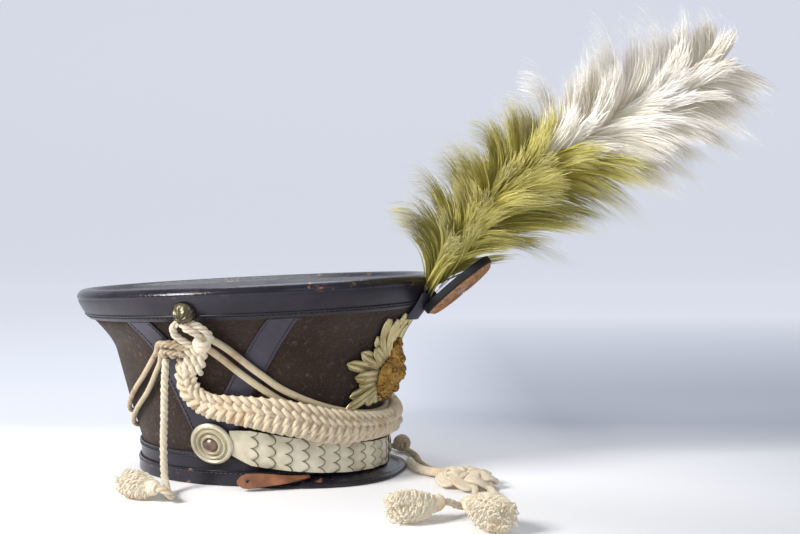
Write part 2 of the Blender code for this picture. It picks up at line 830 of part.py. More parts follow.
def build_plume_part(hat, name, start, end, tiers, look):
    made = hat.add_mesh(name, plume_core(start, end), look)
    bm = bmesh.new()
    for tier in tiers:
        for index in range(tier.locks):
            if meets_cockade(tier, index):
                continue
            lock = feather_lock(tier, index)
            mesh = bpy.data.meshes.new("lock")
            lock.to_mesh(mesh)
            lock.free()
            bm.from_mesh(mesh)
            bpy.data.meshes.remove(mesh)
    mesh = bpy.data.meshes.new(name + "_locks")
    bm.to_mesh(mesh)
    bm.free()
    locks = bpy.data.objects.new(name + "_locks", mesh)
    hat.cutters.objects.link(locks)
    locks.parent = hat.root
    locks.hide_render = True
    locks.display_type = "WIRE"
    fuse = made.modifiers.new("locks", "BOOLEAN")
    fuse.operation = "UNION"
    fuse.object = locks
    fuse.use_self = True


def build_stem(hat):
    """The wire from the socket up past the rim to the plume's foot."""
    out = LAY_GAP + BAND + GAP * 2 + STEM_DIAMETER / 2
    shares = (0.05, 0.27, 0.5, 0.73, 0.95)
    low = [front_point(between(SOCKET_LOW, SOCKET_HIGH, share), out) for share in shares]
    foot, heading = plume_axis(0)
    tip = foot - heading * (GAP * 1.5)
    route = low + [tip - heading * 0.004, tip]
    tube(hat, "plume_stem", smooth_route(route, STEM_DIAMETER * 1.4), STEM_DIAMETER, "wire")


def cockade_frame():
    """The cockade's middle, its long way and the way that it faces."""
    lean = math.radians(COCKADE_LEAN)
    along = Vector((math.cos(lean), 0, math.sin(lean)))
    face = Vector((math.sin(lean), 0, -math.cos(lean)))
    return front_point(WALL_HEIGHT, 0) + Vector((COCKADE_AHEAD, 0, COCKADE_ABOVE)), along, face


def build_cockade(hat):
    middle, along, face = cockade_frame()
    side = Vector((0, 1, 0))

    def disc(depth, share):
        place = middle + face * depth
        return oval(place, along, side, share * COCKADE_LENGTH / 2, share * COCKADE_WIDTH / 2, 24)

    edge = ((1.0, 0.9), (0.8, 1.0), (0.2, 1.0), (0.0, 0.97))
    back = [disc(-COCKADE_BACK * depth, share) for depth, share in edge]
    body = hat.add_mesh("cockade_back", loft(back), "black_cloth")
    ribs = []
    low, high = COCKADE_FACE * 0.6, COCKADE_FACE
    for depth, share, rib in ((GAP, 0.93, 0.0), (low, 0.93, 0.02), (high, 0.8, 0.0), (low, 0.3, 0.0)):
        ring = disc(depth, share)
        centre = middle + face * depth
        ribs.append([p + (p - centre) * (rib if k % 2 else -rib) for k, p in enumerate(ring)])
    hat.add_mesh("cockade_face", loft(ribs), "copper_silk")

    # the shank that holds the cockade on the plume's wire
    foot, heading = plume_axis(0)
    reach = (middle - face * COCKADE_BACK - foot).dot(face) - STEM_DIAMETER / 2 - GAP * 1.5
    place = foot - heading * 0.004 + face * (STEM_DIAMETER / 2 + GAP * 1.5)
    girth = COCKADE_SHANK / 2
    depths = (0, reach + COCKADE_BACK / 2)
    rings = [oval(place + face * depth, heading, side, girth, girth, 10) for depth in depths]
    mesh = bpy.data.meshes.new("cockade_shank")
    shank = loft(rings)
    shank.to_mesh(mesh)
    shank.free()
    cutter = bpy.data.objects.new("cockade_shank", mesh)
    hat.cutters.objects.link(cutter)
    cutter.parent = hat.root
    cutter.hide_render = True
    cutter.display_type = "WIRE"
    fuse = body.modifiers.new("shank", "BOOLEAN")
    fuse.operation = "UNION"
    fuse.object = cutter


# Chin scales

BOSS_SEAT = LAY_GAP + STRAP + GAP


def build_boss(hat, side, word):
    frame = wall_frame(90 * side, BOSS_AT, BOSS_SEAT)
    turned(hat, f"chin_boss_{word}", BOSS_TURN, BOSS_DIAMETER / 2, BOSS_HEIGHT, "ivory_metal", frame, 0.5)
    seat = frame @ Matrix.Translation((0, 0, BOSS_HEIGHT * 0.6 + GAP))
    turned(hat, f"chin_rivet_{word}", DOME_TURN, RIVET_DIAMETER / 2, RIVET_DOME, "gilt", seat)


def scale_frame(share):
    """The strap's middle line: 0 at the boss, 1 at the front. Turn, height, stand-off, half height."""
    start = math.degrees((BOSS_DIAMETER / 2 + GAP) / half_sizes(BOSS_AT)[0]) + 1.2
    turn = between(90 - start, 0, share)
    sag = share * (2 - share)
    height = between(BOSS_AT - 0.002, SCALE_FRONT_AT, sag)
    out = between(LAY_GAP + BAND + GAP * 3, SCALE_STAND_OFF, min(1.0, share * 1.3) ** 0.8)
    half = between(SCALE_SIDE_HEIGHT, SCALE_FRONT_HEIGHT, min(1.0, share * 1.2)) / 2
    return turn, height, out, half


def scale_point(share, side, up, out):
    """A point on the strap's surface; up runs from -1 at its lower edge to 1."""
    turn, height, stand, half = scale_frame(share)
    place = wall_point(side * turn, BASE_BAND_DEPTH * 0.5, stand + out)
    lean = (half_sizes(height + half)[0] - half_sizes(BASE_BAND_DEPTH * 0.5)[0]) * max(0, 1 - 2.2 * share)
    outward = Vector((place.x, place.y, 0)).normalized()
    return Vector((place.x, place.y, height + up * half)) + outward * lean * (up + 1) / 2


FRONT_SHARE = 0.9965


def build_scales(hat, side, word):
    ups = (-1, -0.5, 0, 0.5, 1)
    steps = SCALES_A_SIDE
    lining = []
    for i in range(steps + 1):
        share = between(0, FRONT_SHARE, i / steps)
        lining.append([scale_point(share, side, up * 0.96, 0) for up in (-1, 0, 1)])
    sheet(hat, f"chin_lining_{word}", grid(lining), LINING, "lining")

    length = (BASE_LENGTH + BASE_WIDTH) / 4 * math.pi / 2
    top, back = [], []
    seat = LINING + LAY_GAP * 1.6
    for i in range(SCALES_A_SIDE):
        for into, lift in ((0.04, 0.0), (1.0, SCALE_STEP)):
            row_top, row_back = [], []
            for up in ups:
                bulge = abs(math.cos(up * math.pi)) ** 0.7 * (1 - 0.5 * abs(up)) - 0.6
                first = i == 0 and into < 0.5
                last = i == SCALES_A_SIDE - 1 and into > 0.5
                share = between(0, FRONT_SHARE, (i + into) / SCALES_A_SIDE)
                if not (first or last):
                    share += bulge * SCALE_LOBE / length
                share = min(FRONT_SHARE, max(0, share))
                row_top.append(scale_point(share, side, up, seat + SCALE_METAL + lift))
                row_back.append(scale_point(share, side, up, seat))
            top.append(row_top)
            back.append(row_back)
    sections = [t + b[::-1] for t, b in zip(top, back)]
    hat.add_mesh(f"chin_scales_{word}", loft(sections), "ivory_metal")


def build_tie(hat):
    """The tie's tongue: a flat strap that turns on its edge towards its point."""
    line = [Vector(p) for p in TIE_ROUTE]
    heading = (line[-1] - line[0]).normalized()
    rows = []
    for place, width, lean in zip(line, TIE_WIDTHS, TIE_LEANS):
        flat = heading.cross(Vector((0, 0, 1))).normalized()
        across = Matrix.Rotation(-math.radians(lean), 3, heading) @ flat
        rows.append((place, across, across.cross(heading).normalized(), width))
    sections = []
    for place, across, normal, width in rows:
        a, n = across * width / 2, normal * TIE_LEATHER / 2
        sections.append([place - a - n, place + a - n, place + a + n, place - a + n])
    hat.add_mesh("chin_tie", loft(sections), "tan")


# Cap lines


def build_button(hat, side, word):
    frame = wall_frame(90 * side, BUTTON_AT, LAY_GAP + BAND + GAP * 2)
    turned(hat, f"button_{word}", DOME_TURN, BUTTON_DIAMETER / 2, BUTTON_DOME, "gilt", frame)


def flat_bundle(line, shares, height, depth, sides=10):
    """Flat oval sections square to a line that lies on the wall."""
    sections = []
    for i, place in enumerate(line):
        ahead = (line[min(i + 1, len(line) - 1)] - line[max(i - 1, 0)]).normalized()
        off = Vector((place.x / BASE_LENGTH**2, place.y / BASE_WIDTH**2, 0)).normalized()
        across = ahead.cross(off).normalized()
        off = across.cross(ahead).normalized()
        share = read_table(shares, i / (len(line) - 1))
        sections.append(oval(place, across, off, share * height / 2, depth / 2, sides))
    return loft(sections)


def build_plait(hat):
    line = wall_route(PLAIT_ROUTE, PLAIT_DEPTH * 1.25)
    last = len(PLAIT_SHARE) - 1
    half = [(i / last / 2, share) for i, share in enumerate(PLAIT_SHARE)]
    other = [(1 - at, share) for at, share in reversed(half[:-1])]
    hat.add_mesh("plait", flat_bundle(line, half + other, PLAIT_HEIGHT, PLAIT_DEPTH), "cord")


KNOT_ROUTE = (
    Spot(89.5, 0.1295, 0.0095),
    Spot(88.5, 0.1240, 0.0105),
    Spot(88.0, 0.1150, 0.0110),
    Spot(88.0, 0.1060, 0.0105),
)
WRAP_ROUTE = (
    Spot(93.2, 0.1110, 0.0112),
    Spot(98.5, 0.1112, 0.0118),
    Spot(103.1, 0.1106, 0.0108),
)
KNOT_OUTLINE = ((0.0, 0.5), (0.25, 0.55), (0.45, 0.9), (0.7, 1.0), (0.9, 0.9), (1.0, 0.6))
WRAP_OUTLINE = ((0.0, 0.8), (0.2, 1.0), (0.8, 1.0), (1.0, 0.8))


def build_knot(hat, side, word):
    """The loop under the button with its round knot, and the wrapped bundle beside it."""
    line = smooth_route(spot_points(KNOT_ROUTE, side), KNOT_STEP)
    bm = flat_bundle(line, KNOT_OUTLINE, KNOT_WIDTH, KNOT_DEPTH)
    hat.add_mesh(f"knot_{word}", bm, "cord")
    line = smooth_route(spot_points(WRAP_ROUTE, side), WRAP_STEP)
    bm = flat_bundle(line, WRAP_OUTLINE, WRAP_WIDTH, WRAP_DEPTH)
    hat.add_mesh(f"wrap_{word}", bm, "cord")


def tassel(hat, name, start, end, radius, look="cord"):
    """Locks of fringe round a head: a lobed loft that lies on the surface."""
    start, end = Vector(start), Vector(end)
    ahead = (end - start).normalized()
    side = ahead.cross(Vector((0, 0, 1))).normalized()
    up = side.cross(ahead)
    sections = []
    for girth in TASSEL_OUTLINE:
        ring = []
        for k in range(TASSEL_SIDES):
            a = 2 * math.pi * k / TASSEL_SIDES
            lock = 1 if k % 2 or girth.along < 0.3 else 0.86
            reach = radius * girth.width * lock
            ring.append(start.lerp(end, girth.along) + side * reach * math.cos(a) + up * reach * math.sin(a))
        sections.append(ring)
    hat.add_mesh(name, loft(sections), look)


def build_lines(hat):
    for side, word in ((-1, "right"), (1, "left")):
        build_button(hat, side, word)
        build_knot(hat, side, word)
    build_plait(hat)
    wall_cord(hat, "festoon_upper", FESTOON_UPPER_ROUTE, FESTOON_DIAMETER)
    wall_cord(hat, "festoon_lower", FESTOON_LOWER_ROUTE, FESTOON_DIAMETER)
    wall_cord(hat, "back_cord_upper", BACK_UPPER_ROUTE, BACK_CORD_DIAMETER)
    wall_cord(hat, "back_cord_lower", BACK_LOWER_ROUTE, BACK_CORD_DIAMETER)
    cord(hat, "tail_cord", TAIL_ROUTE, TAIL_DIAMETER, TAIL_STEP)
    tassel(hat, "tassel_tail", TAIL_TASSEL_FROM, TAIL_TASSEL_TO, TAIL_TASSEL)


def build_floor_group(hat):
    """What lies on the surface in front: cord, slide, woven oval, two leads and two tassels."""
    whole = smooth_route(FRONT_CORD_ROUTE, 0.0005)
    slide = Vector(FRONT_CORD_ROUTE[SLIDE_AT])
    nearest = min(range(len(whole)), key=lambda i: (whole[i] - slide).length)
    half = SLIDE_DIAMETER / 2
    before = [p for p in whole[:nearest] if (p - slide).length > half + GAP]
    after = [p for p in whole[nearest:] if (p - slide).length > half + GAP]
    cord(hat, "front_cord_upper", before, FRONT_CORD_DIAMETER)
    cord(hat, "front_cord_lower", after, FRONT_CORD_DIAMETER)
    ahead = (after[0] - before[-1]).normalized()
    side = ahead.cross(Vector((0, 0, 1))).normalized()
    up = side.cross(ahead)
    centre = slide + Vector((0, 0, half + GAP - slide.z))
    rings = []
    for at, girth in ((-1.0, 0.42), (-0.6, 0.8), (0, 1), (0.6, 0.8), (1.0, 0.42)):
        rings.append(oval(centre + ahead * half * at, side, up, half * girth, half * girth, 12))
    hat.add_mesh("slide", loft(rings), "cord")

    start, end = Vector(FLOUNDER_FROM), Vector(FLOUNDER_TO)
    ahead = (end - start).normalized()
    side = ahead.cross(Vector((0, 0, 1))).normalized()
    middle = start + ahead * FLOUNDER_LENGTH / 2
    rings = []
    for high, girth in ((-0.5, 0.86), (-0.3, 0.98), (0.1, 1.0), (0.36, 0.86), (0.5, 0.55)):
        place = middle + Vector((0, 0, FLOUNDER_DEPTH * high))
        rings.append(oval(place, ahead, side, girth * FLOUNDER_LENGTH / 2, girth * FLOUNDER_WIDTH / 2, 20))
    hat.add_mesh("flounder", loft(rings), "cord")
    cord(hat, "lead_a", LEAD_A_ROUTE, FRONT_CORD_DIAMETER)
    cord(hat, "lead_b", LEAD_B_ROUTE, FRONT_CORD_DIAMETER)
    tassel(hat, "tassel_a", TASSEL_A_FROM, TASSEL_A_TO, TASSEL_A)
    tassel(hat, "tassel_b", TASSEL_B_FROM, TASSEL_B_TO, TASSEL_B)


LINE_PIECES = (
    "tail_cord",
    "tassel_tail",
    "front_cord_upper",
    "front_cord_lower",
    "slide",
    "flounder",
    "lead_a",
    "lead_b",
    "tassel_a",
    "tassel_b",
)


def centre_on_floor(hat):
    """Moves everything so that the origin is under the middle of the hat without its free lines."""
    bpy.context.view_layer.update()
    graph = bpy.context.evaluated_depsgraph_get()
    low, high = Vector((9, 9, 9)), Vector((-9, -9, -9))
    for piece in hat.pieces.objects:
        if piece == hat.root or piece.name in LINE_PIECES:
            continue
        seen = piece.evaluated_get(graph)
        mesh = seen.to_mesh()
        for vertex in mesh.vertices:
            place = seen.matrix_world @ vertex.co
            low = Vector(map(min, low, place))
            high = Vector(map(max, high, place))
        seen.to_mesh_clear()
    middle = (low + high) / 2
    hat.root.location = (-middle.x, -middle.y, -low.z)


def main():
    clear_scene()
    hat = Hat()
    build_crown(hat)
    build_crown_top(hat)
    build_v_strap(hat, "chevron_right", -1)
    build_v_strap(hat, "chevron_left", 1)
    build_peak(hat)
    build_ray_plate(hat)
    build_badge(hat)
    build_socket(hat)
    build_stem(hat)
    build_cockade(hat)
    build_plume_part(hat, "plume_green", 0.0, PLUME_SPLIT, GREEN_TIERS, "green_feather")
    build_plume_part(hat, "plume_white", PLUME_SPLIT + 0.002, 0.97, WHITE_TIERS, "white_feather")
    for side, word in ((-1, "right"), (1, "left")):
        build_boss(hat, side, word)
        build_scales(hat, side, word)
    build_tie(hat)
    build_lines(hat)
    build_floor_group(hat)
    centre_on_floor(hat)


main()
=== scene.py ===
"""Dresses the shako: felt and patent leather, brass, feathers, braid and cord, in metres.
The front is +X, the wearer's left +Y. Shapes repeat the sizes of the part's own solids."""

import math
import random

import bmesh
import bpy
from mathutils import Matrix, Vector


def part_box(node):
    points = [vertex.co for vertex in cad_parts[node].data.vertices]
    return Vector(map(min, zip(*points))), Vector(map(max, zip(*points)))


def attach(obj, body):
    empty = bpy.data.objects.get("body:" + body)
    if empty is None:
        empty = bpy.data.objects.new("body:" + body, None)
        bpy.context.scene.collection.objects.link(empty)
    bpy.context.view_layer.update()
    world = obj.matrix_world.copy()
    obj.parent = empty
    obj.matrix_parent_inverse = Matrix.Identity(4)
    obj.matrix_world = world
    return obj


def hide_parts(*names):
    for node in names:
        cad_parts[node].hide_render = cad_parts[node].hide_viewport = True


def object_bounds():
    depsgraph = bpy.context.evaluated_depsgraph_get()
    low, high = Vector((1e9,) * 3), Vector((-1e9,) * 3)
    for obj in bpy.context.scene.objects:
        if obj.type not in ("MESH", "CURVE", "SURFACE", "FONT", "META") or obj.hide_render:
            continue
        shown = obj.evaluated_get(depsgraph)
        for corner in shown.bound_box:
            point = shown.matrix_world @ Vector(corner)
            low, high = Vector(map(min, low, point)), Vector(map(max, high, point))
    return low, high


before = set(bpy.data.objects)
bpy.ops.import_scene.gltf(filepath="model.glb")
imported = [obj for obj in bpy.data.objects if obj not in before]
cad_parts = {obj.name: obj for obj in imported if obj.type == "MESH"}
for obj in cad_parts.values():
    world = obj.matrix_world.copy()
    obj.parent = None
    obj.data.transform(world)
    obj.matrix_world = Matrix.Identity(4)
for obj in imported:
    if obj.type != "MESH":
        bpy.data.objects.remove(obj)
cad_box = [list(corner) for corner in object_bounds()]

# Sizes shared with the solids
GAP, LAY_GAP = 0.0003, 0.0005
BASE_LENGTH, BASE_WIDTH = 0.198, 0.166
TOP_LENGTH, TOP_WIDTH = 0.299, 0.285
WALL_HEIGHT, TOP_TILT = 0.153, 0.0073
FELT, BAND, TOP_LEATHER = 0.0022, 0.0018, 0.0022
TOP_BAND_DEPTH, BASE_BAND_DEPTH = 0.018, 0.026
BINDING_DEPTH, BINDING = 0.012, 0.0014
ROLL_HEIGHT, ROLL_WIDTH, TOP_DISH = 0.0065, 0.013, 0.0035
STRAP_WIDTH, STRAP, STRAP_FOOT, STRAP_TOP = 0.024, 0.0016, 0.0285, 0.1346
PEAK_REACH, PEAK_HALF_WIDTH, PEAK_LEATHER, PEAK_RISE = 0.128, 0.0875, 0.0026, 0.0085
PLATE_HEIGHT, PLATE_GAP, PLATE_METAL, BADGE_RAISE = 0.080, 0.0013, 0.0012, 0.0028
SOCKET_WIDTH, SOCKET_LOW, SOCKET_HIGH, SOCKET_ARCH = 0.019, 0.125, 0.145, 0.0050
STEM_DIAMETER = 0.003
COCKADE_LENGTH, COCKADE_WIDTH, COCKADE_BACK, COCKADE_FACE = 0.069, 0.045, 0.0065, 0.0035
PLUME_LENGTH, PLUME_WIDTH, PLUME_DEPTH, PLUME_SPLIT = 0.312, 0.136, 0.100, 0.47
BOSS_DIAMETER, BOSS_HEIGHT, BOSS_AT = 0.036, 0.0075, 0.036
BUTTON_DIAMETER, BUTTON_AT = 0.018, 0.1435
PLAIT_HEIGHT = 0.031
FESTOON, BACK_CORD, TAIL, FRONT_CORD = 0.0055, 0.0042, 0.0065, 0.0058
SIDES, CURVE_STEPS = 144, 12
UP = Vector((0, 0, 1))
BOTH_SIDES = ((-1, "right"), (1, "left"))

# Sizes of the looser forms
PEAK_SQUARENESS, PEAK_SWEEP = 2.5, 80
RAY_HALF_WIDTH, RAY_FOOT = 0.0049, 0.016
BADGE_HALF_WIDTH, BADGE_HALF_HEIGHT, BADGE_BULGE = 0.0225, 0.0245, 0.009
STEM_AHEAD, PLUME_STEEP, PLUME_FLAT, PLUME_BEND = 0.0065, 58, 28, 0.55
COCKADE_AHEAD, COCKADE_DROP, COCKADE_LEAN, COCKADE_RIBS = 0.0300, 0.0050, 40, 60
RIVET_DIAMETER, RIVET_HEIGHT, BUTTON_HEIGHT = 0.012, 0.0046, 0.010
LINING, PLATE_THICKNESS, PLATES, PLATE_LOBE = 0.0016, 0.0006, 11, 0.0052
SCALE_HEIGHT_BOSS, SCALE_HEIGHT_FRONT, SCALE_FRONT_AT = 0.029, 0.022, 0.0185
SCALE_STAND_OFF, SCALE_END = 0.012, 0.9965
PLAIT_PITCH, PLAIT_ROPE, PLAIT_STEP = 0.0074, 0.0084, 0.0005
LOOP_CORD, BRAID_END_CORD, WRAP_CORD, KNOT_LINE_STEP = 0.0062, 0.0086, 0.0056, 0.0015
SOFT_EDGE, BINDING_EDGE, STRAP_EDGE, STITCH_EDGE = 0.0004, 0.0005, 0.0003, 0.0003
STITCH, STITCH_LENGTH, STITCH_SPACING = 0.00124, 0.0030, 0.0042
STRAP_STITCH_SPACING, SOCKET_STITCH_SPACING = 0.0038, 0.0034
STITCH_IN, BASE_STITCH_IN, BINDING_STITCH_IN = 0.0016, 0.0025, 0.0022
WELT_IN, BASE_WELT_IN = 0.0034, 0.0042
STRAP_TURNS, STRAP_FORK = (19.7, -29.5), 0.3
PEAK_BEAD, SOCKET_LEATHER = 0.0007, 0.0018
RAY_METAL, RAY_CUP, BADGE_STAND, BADGE_METAL = 0.0006, 0.0016, 0.0020, 0.0010
PLUME_ROOM, PLUME_SIDE_ROOM, PLUME_CORE, GOLDEN_TURN = 0.016, 0.010, 0.0042, 137.5
BARB_STEPS, BARB_DROOP, CURL_STEPS = 8, 0.16, 30
BARB_WIDTHS, BARB_LENGTHS = (0.0009, 0.0019), (1.35, 1.80)

low_corner, high_corner = (Vector(corner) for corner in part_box("crown_wall"))
MIDDLE = Vector(((low_corner.x + high_corner.x) / 2, 0, 0))

# The crown's outline: shares of its height, and of the way from the base oval to the top oval
LEVELS = (
    (0.00, 0.00), (0.14, 0.00), (0.40, 0.22), (0.72, 0.45),
    (0.80, 0.60), (0.88, 0.80), (0.94, 0.93), (1.00, 1.00),
)

# Routes on the wall: degrees from the front, height, stand-off to the middle of the cord
PLAIT_ROUTE = (
    (94, 0.1005, 0.0090), (95.5, 0.089, 0.0088), (94, 0.076, 0.0088), (88, 0.067, 0.0090),
    (79, 0.0640, 0.0104), (68, 0.0610, 0.0138), (54, 0.0550, 0.0146), (40, 0.0480, 0.0142),
    (20, 0.0445, 0.0142), (0, 0.0440, 0.0142),
)
PLAIT_SHARE = (0.62, 0.66, 0.74, 0.88, 1.0, 1.0, 1.0, 0.88, 0.8, 0.78)
FESTOON_UPPER_ROUTE = (
    (85.4, 0.1225, 0.0125), (83.2, 0.1200, 0.0105), (80.0, 0.1135, 0.0080),
    (75, 0.1030, 0.0060), (68, 0.0905, 0.0056), (58, 0.0760, 0.0042), (41, 0.0620, 0.0036),
    (20, 0.0535, 0.0036), (0, 0.0515, 0.0036),
)
FESTOON_LOWER_ROUTE = (
    (86.0, 0.1150, 0.0125), (83.4, 0.1085, 0.0100), (80.5, 0.1020, 0.0075),
    (76, 0.0930, 0.0060), (70, 0.0830, 0.0060), (64, 0.0740, 0.0044), (58, 0.0670, 0.0036),
    (42, 0.0540, 0.0036), (20, 0.0460, 0.0036), (0, 0.0440, 0.0036),
)
BACK_UPPER_ROUTE = (
    (104.3, 0.1150, 0.0085), (108.5, 0.1060, 0.0066), (122, 0.0840, 0.0034),
    (144, 0.0590, 0.0030), (164, 0.0470, 0.0030), (180, 0.0440, 0.0030),
)
BACK_LOWER_ROUTE = (
    (104.5, 0.1085, 0.0085), (108.5, 0.0960, 0.0060), (122, 0.0700, 0.0034),
    (146, 0.0450, 0.0030), (165, 0.0345, 0.0030), (180, 0.0325, 0.0030),
)

# Round the buttons, in the same terms; the braid ends' turns and the wrap cords' heights are offsets
LOOP_ROUTES = (
    ((88.5, 0.1345, 0.006), (93.0, 0.1325, 0.009), (94.0, 0.1250, 0.012), (91.0, 0.1170, 0.013),
     (88.5, 0.1120, 0.012)),
    ((91.0, 0.1345, 0.008), (89.0, 0.1300, 0.014), (86.0, 0.1240, 0.015), (86.5, 0.1160, 0.015),
     (89.0, 0.1100, 0.012)),
    ((89.5, 0.1340, 0.008), (86.0, 0.1310, 0.010), (83.8, 0.1260, 0.011), (83.2, 0.1215, 0.011),
     (85.0, 0.1170, 0.011)),
)
KNOT_ENDS = ((85.4, 0.1215, 0.014), (86.6, 0.1125, 0.0145))
WRAP_ENDS = ((92.0, 0.1130, 0.011), (103.0, 0.1112, 0.0105))
BRAID_END_ROUTE = (
    (0.0, 0.1150, 0.012), (0.6, 0.1070, 0.0135), (2.2, 0.0985, 0.0125), (3.6, 0.0930, 0.0110),
)
WRAP_CORD_ROUTE = (
    (91, -0.003, 0.013), (95, 0.0, 0.0165), (99.5, 0.001, 0.0160), (103, -0.001, 0.0105),
)

# Free cords: points about the middle of the hat's foot
TAIL_ROUTE = (
    (-0.0282, -0.1152, 0.1023), (-0.0290, -0.1160, 0.0850), (-0.0300, -0.1150, 0.0600),
    (-0.0310, -0.1145, 0.0350), (-0.0270, -0.1210, 0.0120), (-0.0170, -0.1350, 0.0040),
    (-0.0090, -0.1450, 0.0037), (-0.0060, -0.1535, 0.0062), (-0.0088, -0.1564, 0.0100),
    (-0.0148, -0.1548, 0.0109),
)
TAIL_TASSEL = ((-0.0165, -0.1541, 0.0109), (-0.0500, -0.1420, 0.0109))
FRONT_CORD_ROUTE = (
    (-0.0282, 0.1152, 0.1024), (-0.0300, 0.1165, 0.0820), (-0.0260, 0.1150, 0.0500),
    (-0.0080, 0.1150, 0.0200), (0.0220, 0.1180, 0.0048), (0.0520, 0.1150, 0.0033),
    (0.0780, 0.1060, 0.0033), (0.1040, 0.0900, 0.0034), (0.1240, 0.0620, 0.0033),
    (0.1370, 0.0300, 0.0033), (0.1520, 0.0060, 0.0036), (0.1697, -0.0128, 0.0050),
)
SLIDE_AT, SLIDE_DIAMETER = 7, 0.016
FLOUNDER_FROM, FLOUNDER_TO = (0.1700, -0.0130, 0.0085), (0.2150, -0.0560, 0.0085)
FLOUNDER_LENGTH, FLOUNDER_WIDTH = 0.062, 0.048
FLOUNDER_LOOP = (
    (0.1760, -0.0200, 0.0070), (0.1610, -0.0120, 0.0050), (0.1450, 0.0020, 0.0039),
    (0.1330, 0.0200, 0.0038), (0.1255, 0.0370, 0.0038),
)
LEAD_A_ROUTE = (
    (0.2054, -0.0608, 0.0046), (0.2075, -0.0700, 0.0036), (0.2100, -0.0900, 0.0034),
    (0.2110, -0.1150, 0.0036), (0.2080, -0.1330, 0.0080), (0.2044, -0.1392, 0.0115),
    (0.2010, -0.1422, 0.0119),
)
LEAD_B_ROUTE = (
    (0.2150, -0.0563, 0.0046), (0.2200, -0.0640, 0.0036), (0.2260, -0.0850, 0.0034),
    (0.2240, -0.1150, 0.0036), (0.2180, -0.1320, 0.0080), (0.2144, -0.1392, 0.0122),
    (0.2173, -0.1430, 0.0128),
)
TASSEL_A = ((0.2000, -0.1430, 0.0120), (0.1690, -0.1700, 0.0120))
TASSEL_B = ((0.2190, -0.1450, 0.0130), (0.2520, -0.1800, 0.0130))
TIE_ROUTE = (
    (0.0734, -0.0692, 0.0078), (0.0610, -0.0855, 0.0080), (0.0480, -0.0930, 0.0082),
    (0.0360, -0.0990, 0.0078), (0.0260, -0.1035, 0.0072),
)

TIE_WIDTHS = (
    (0, 0.003), (0.25, 0.005), (0.5, 0.0085), (0.75, 0.0115), (0.86, 0.0120), (0.94, 0.0095),
    (1.0, 0.003),
)
TIE_LEANS = ((0, 15), (0.25, 45), (0.5, 60), (0.75, 66), (1.0, 68))

# The plate's rays on one side: degrees from straight up, and length
RAYS = (
    (0, 0.056), (11, 0.042), (18, 0.0525), (30, 0.053), (40.5, 0.062), (48.5, 0.050), (57, 0.043),
    (66, 0.054), (76.5, 0.062), (86.5, 0.050), (95, 0.043), (104, 0.051), (113, 0.056),
    (124, 0.036), (136, 0.027), (150, 0.022), (166, 0.020), (180, 0.019),
)

# The badge in shares of its half sizes: one side of its outline, and its knobs with their radius
BADGE_OUTLINE = (
    (0.0, 1.0), (0.24, 0.92), (0.36, 0.72), (0.34, 0.55), (0.62, 0.42), (0.92, 0.20),
    (1.0, -0.14), (0.86, -0.52), (0.5, -0.84), (0.0, -1.0),
)
BADGE_KNOBS = (
    (0, 0.98, 0.0032), (-0.28, 0.86, 0.0026), (0.28, 0.86, 0.0026), (0, -0.05, 0.0062),
    (-0.42, 0.05, 0.0042), (0.42, 0.05, 0.0042), (0, -0.5, 0.0045), (0, 0.42, 0.0040),
)

# The plume's outline: shares of its length and of its half width
PLUME_OUTLINE = (
    (0.00, 0.14), (0.06, 0.45), (0.12, 0.72), (0.22, 0.95), (0.36, 1.00),
    (0.65, 1.00), (0.82, 0.90), (0.94, 0.74), (1.00, 0.50),
)

# Profiles: shares of radius and height, from the middle outwards; the rim's go inwards from its edge
BOSS_PROFILE = (
    (0.0, 0.44), (0.30, 0.44), (0.33, 0.66), (0.38, 0.84), (0.43, 0.84), (0.48, 0.62),
    (0.51, 0.44), (0.55, 0.44), (0.58, 0.64), (0.62, 0.78), (0.67, 0.78), (0.70, 0.62),
    (0.73, 0.46), (0.76, 0.46), (0.79, 0.60), (0.85, 0.72), (0.92, 0.68), (0.97, 0.56),
    (1.00, 0.42), (0.97, 0.25), (0.5, 0.18),
)
RIM_PROFILE = (
    (0.02, -0.20), (-0.03, 0.0), (-0.02, 0.25), (0.05, 0.52), (0.16, 0.76), (0.30, 0.93),
    (0.45, 1.0), (0.60, 0.93), (0.75, 0.76), (0.90, 0.52), (1.05, 0.34), (1.3, 0.22),
)
RIVET_PROFILE = ((0.0, 1.0), (0.25, 0.97), (0.5, 0.86), (0.75, 0.64), (0.9, 0.36), (0.96, 0.0))
BUTTON_PROFILE = (
    (0.0, 1.0), (0.2, 0.98), (0.42, 0.92), (0.62, 0.80), (0.80, 0.62), (0.93, 0.40),
    (1.00, 0.22), (1.0, 0.10), (0.92, 0.0),
)


def between(low, high, share):
    return low + (high - low) * share


def clamp(value, low=0.0, high=1.0):
    return max(low, min(high, value))


def ridge(at):
    """A rounded ridge of height one at nought."""
    return math.exp(-(at**2))


def read_table(table, at):
    for before, after in zip(table, table[1:]):
        if at <= after[0]:
            share = (at - before[0]) / (after[0] - before[0])
            return between(before[1], after[1], max(0.0, share))
    return table[-1][1]


def half_sizes(height):
    """The wall's half length and half width, with the bends between its levels eased."""
    blur, reads = 0.035, (-1.0, -0.5, 0.0, 0.5, 1.0)
    share = height / WALL_HEIGHT
    flare = sum(read_table(LEVELS, clamp(share + blur * r)) for r in reads) / len(reads)
    return (
        between(BASE_LENGTH, TOP_LENGTH, flare) / 2,
        between(BASE_WIDTH, TOP_WIDTH, flare) / 2,
    )


def flare_stretch(height):
    step = 0.004
    low, high = max(0.0, height - step), min(WALL_HEIGHT, height + step)
    return math.hypot(1.0, (half_sizes(high)[0] - half_sizes(low)[0]) / (high - low))


def tilt(turn, height):
    return TOP_TILT * math.cos(math.radians(turn)) * (height / WALL_HEIGHT) ** 2


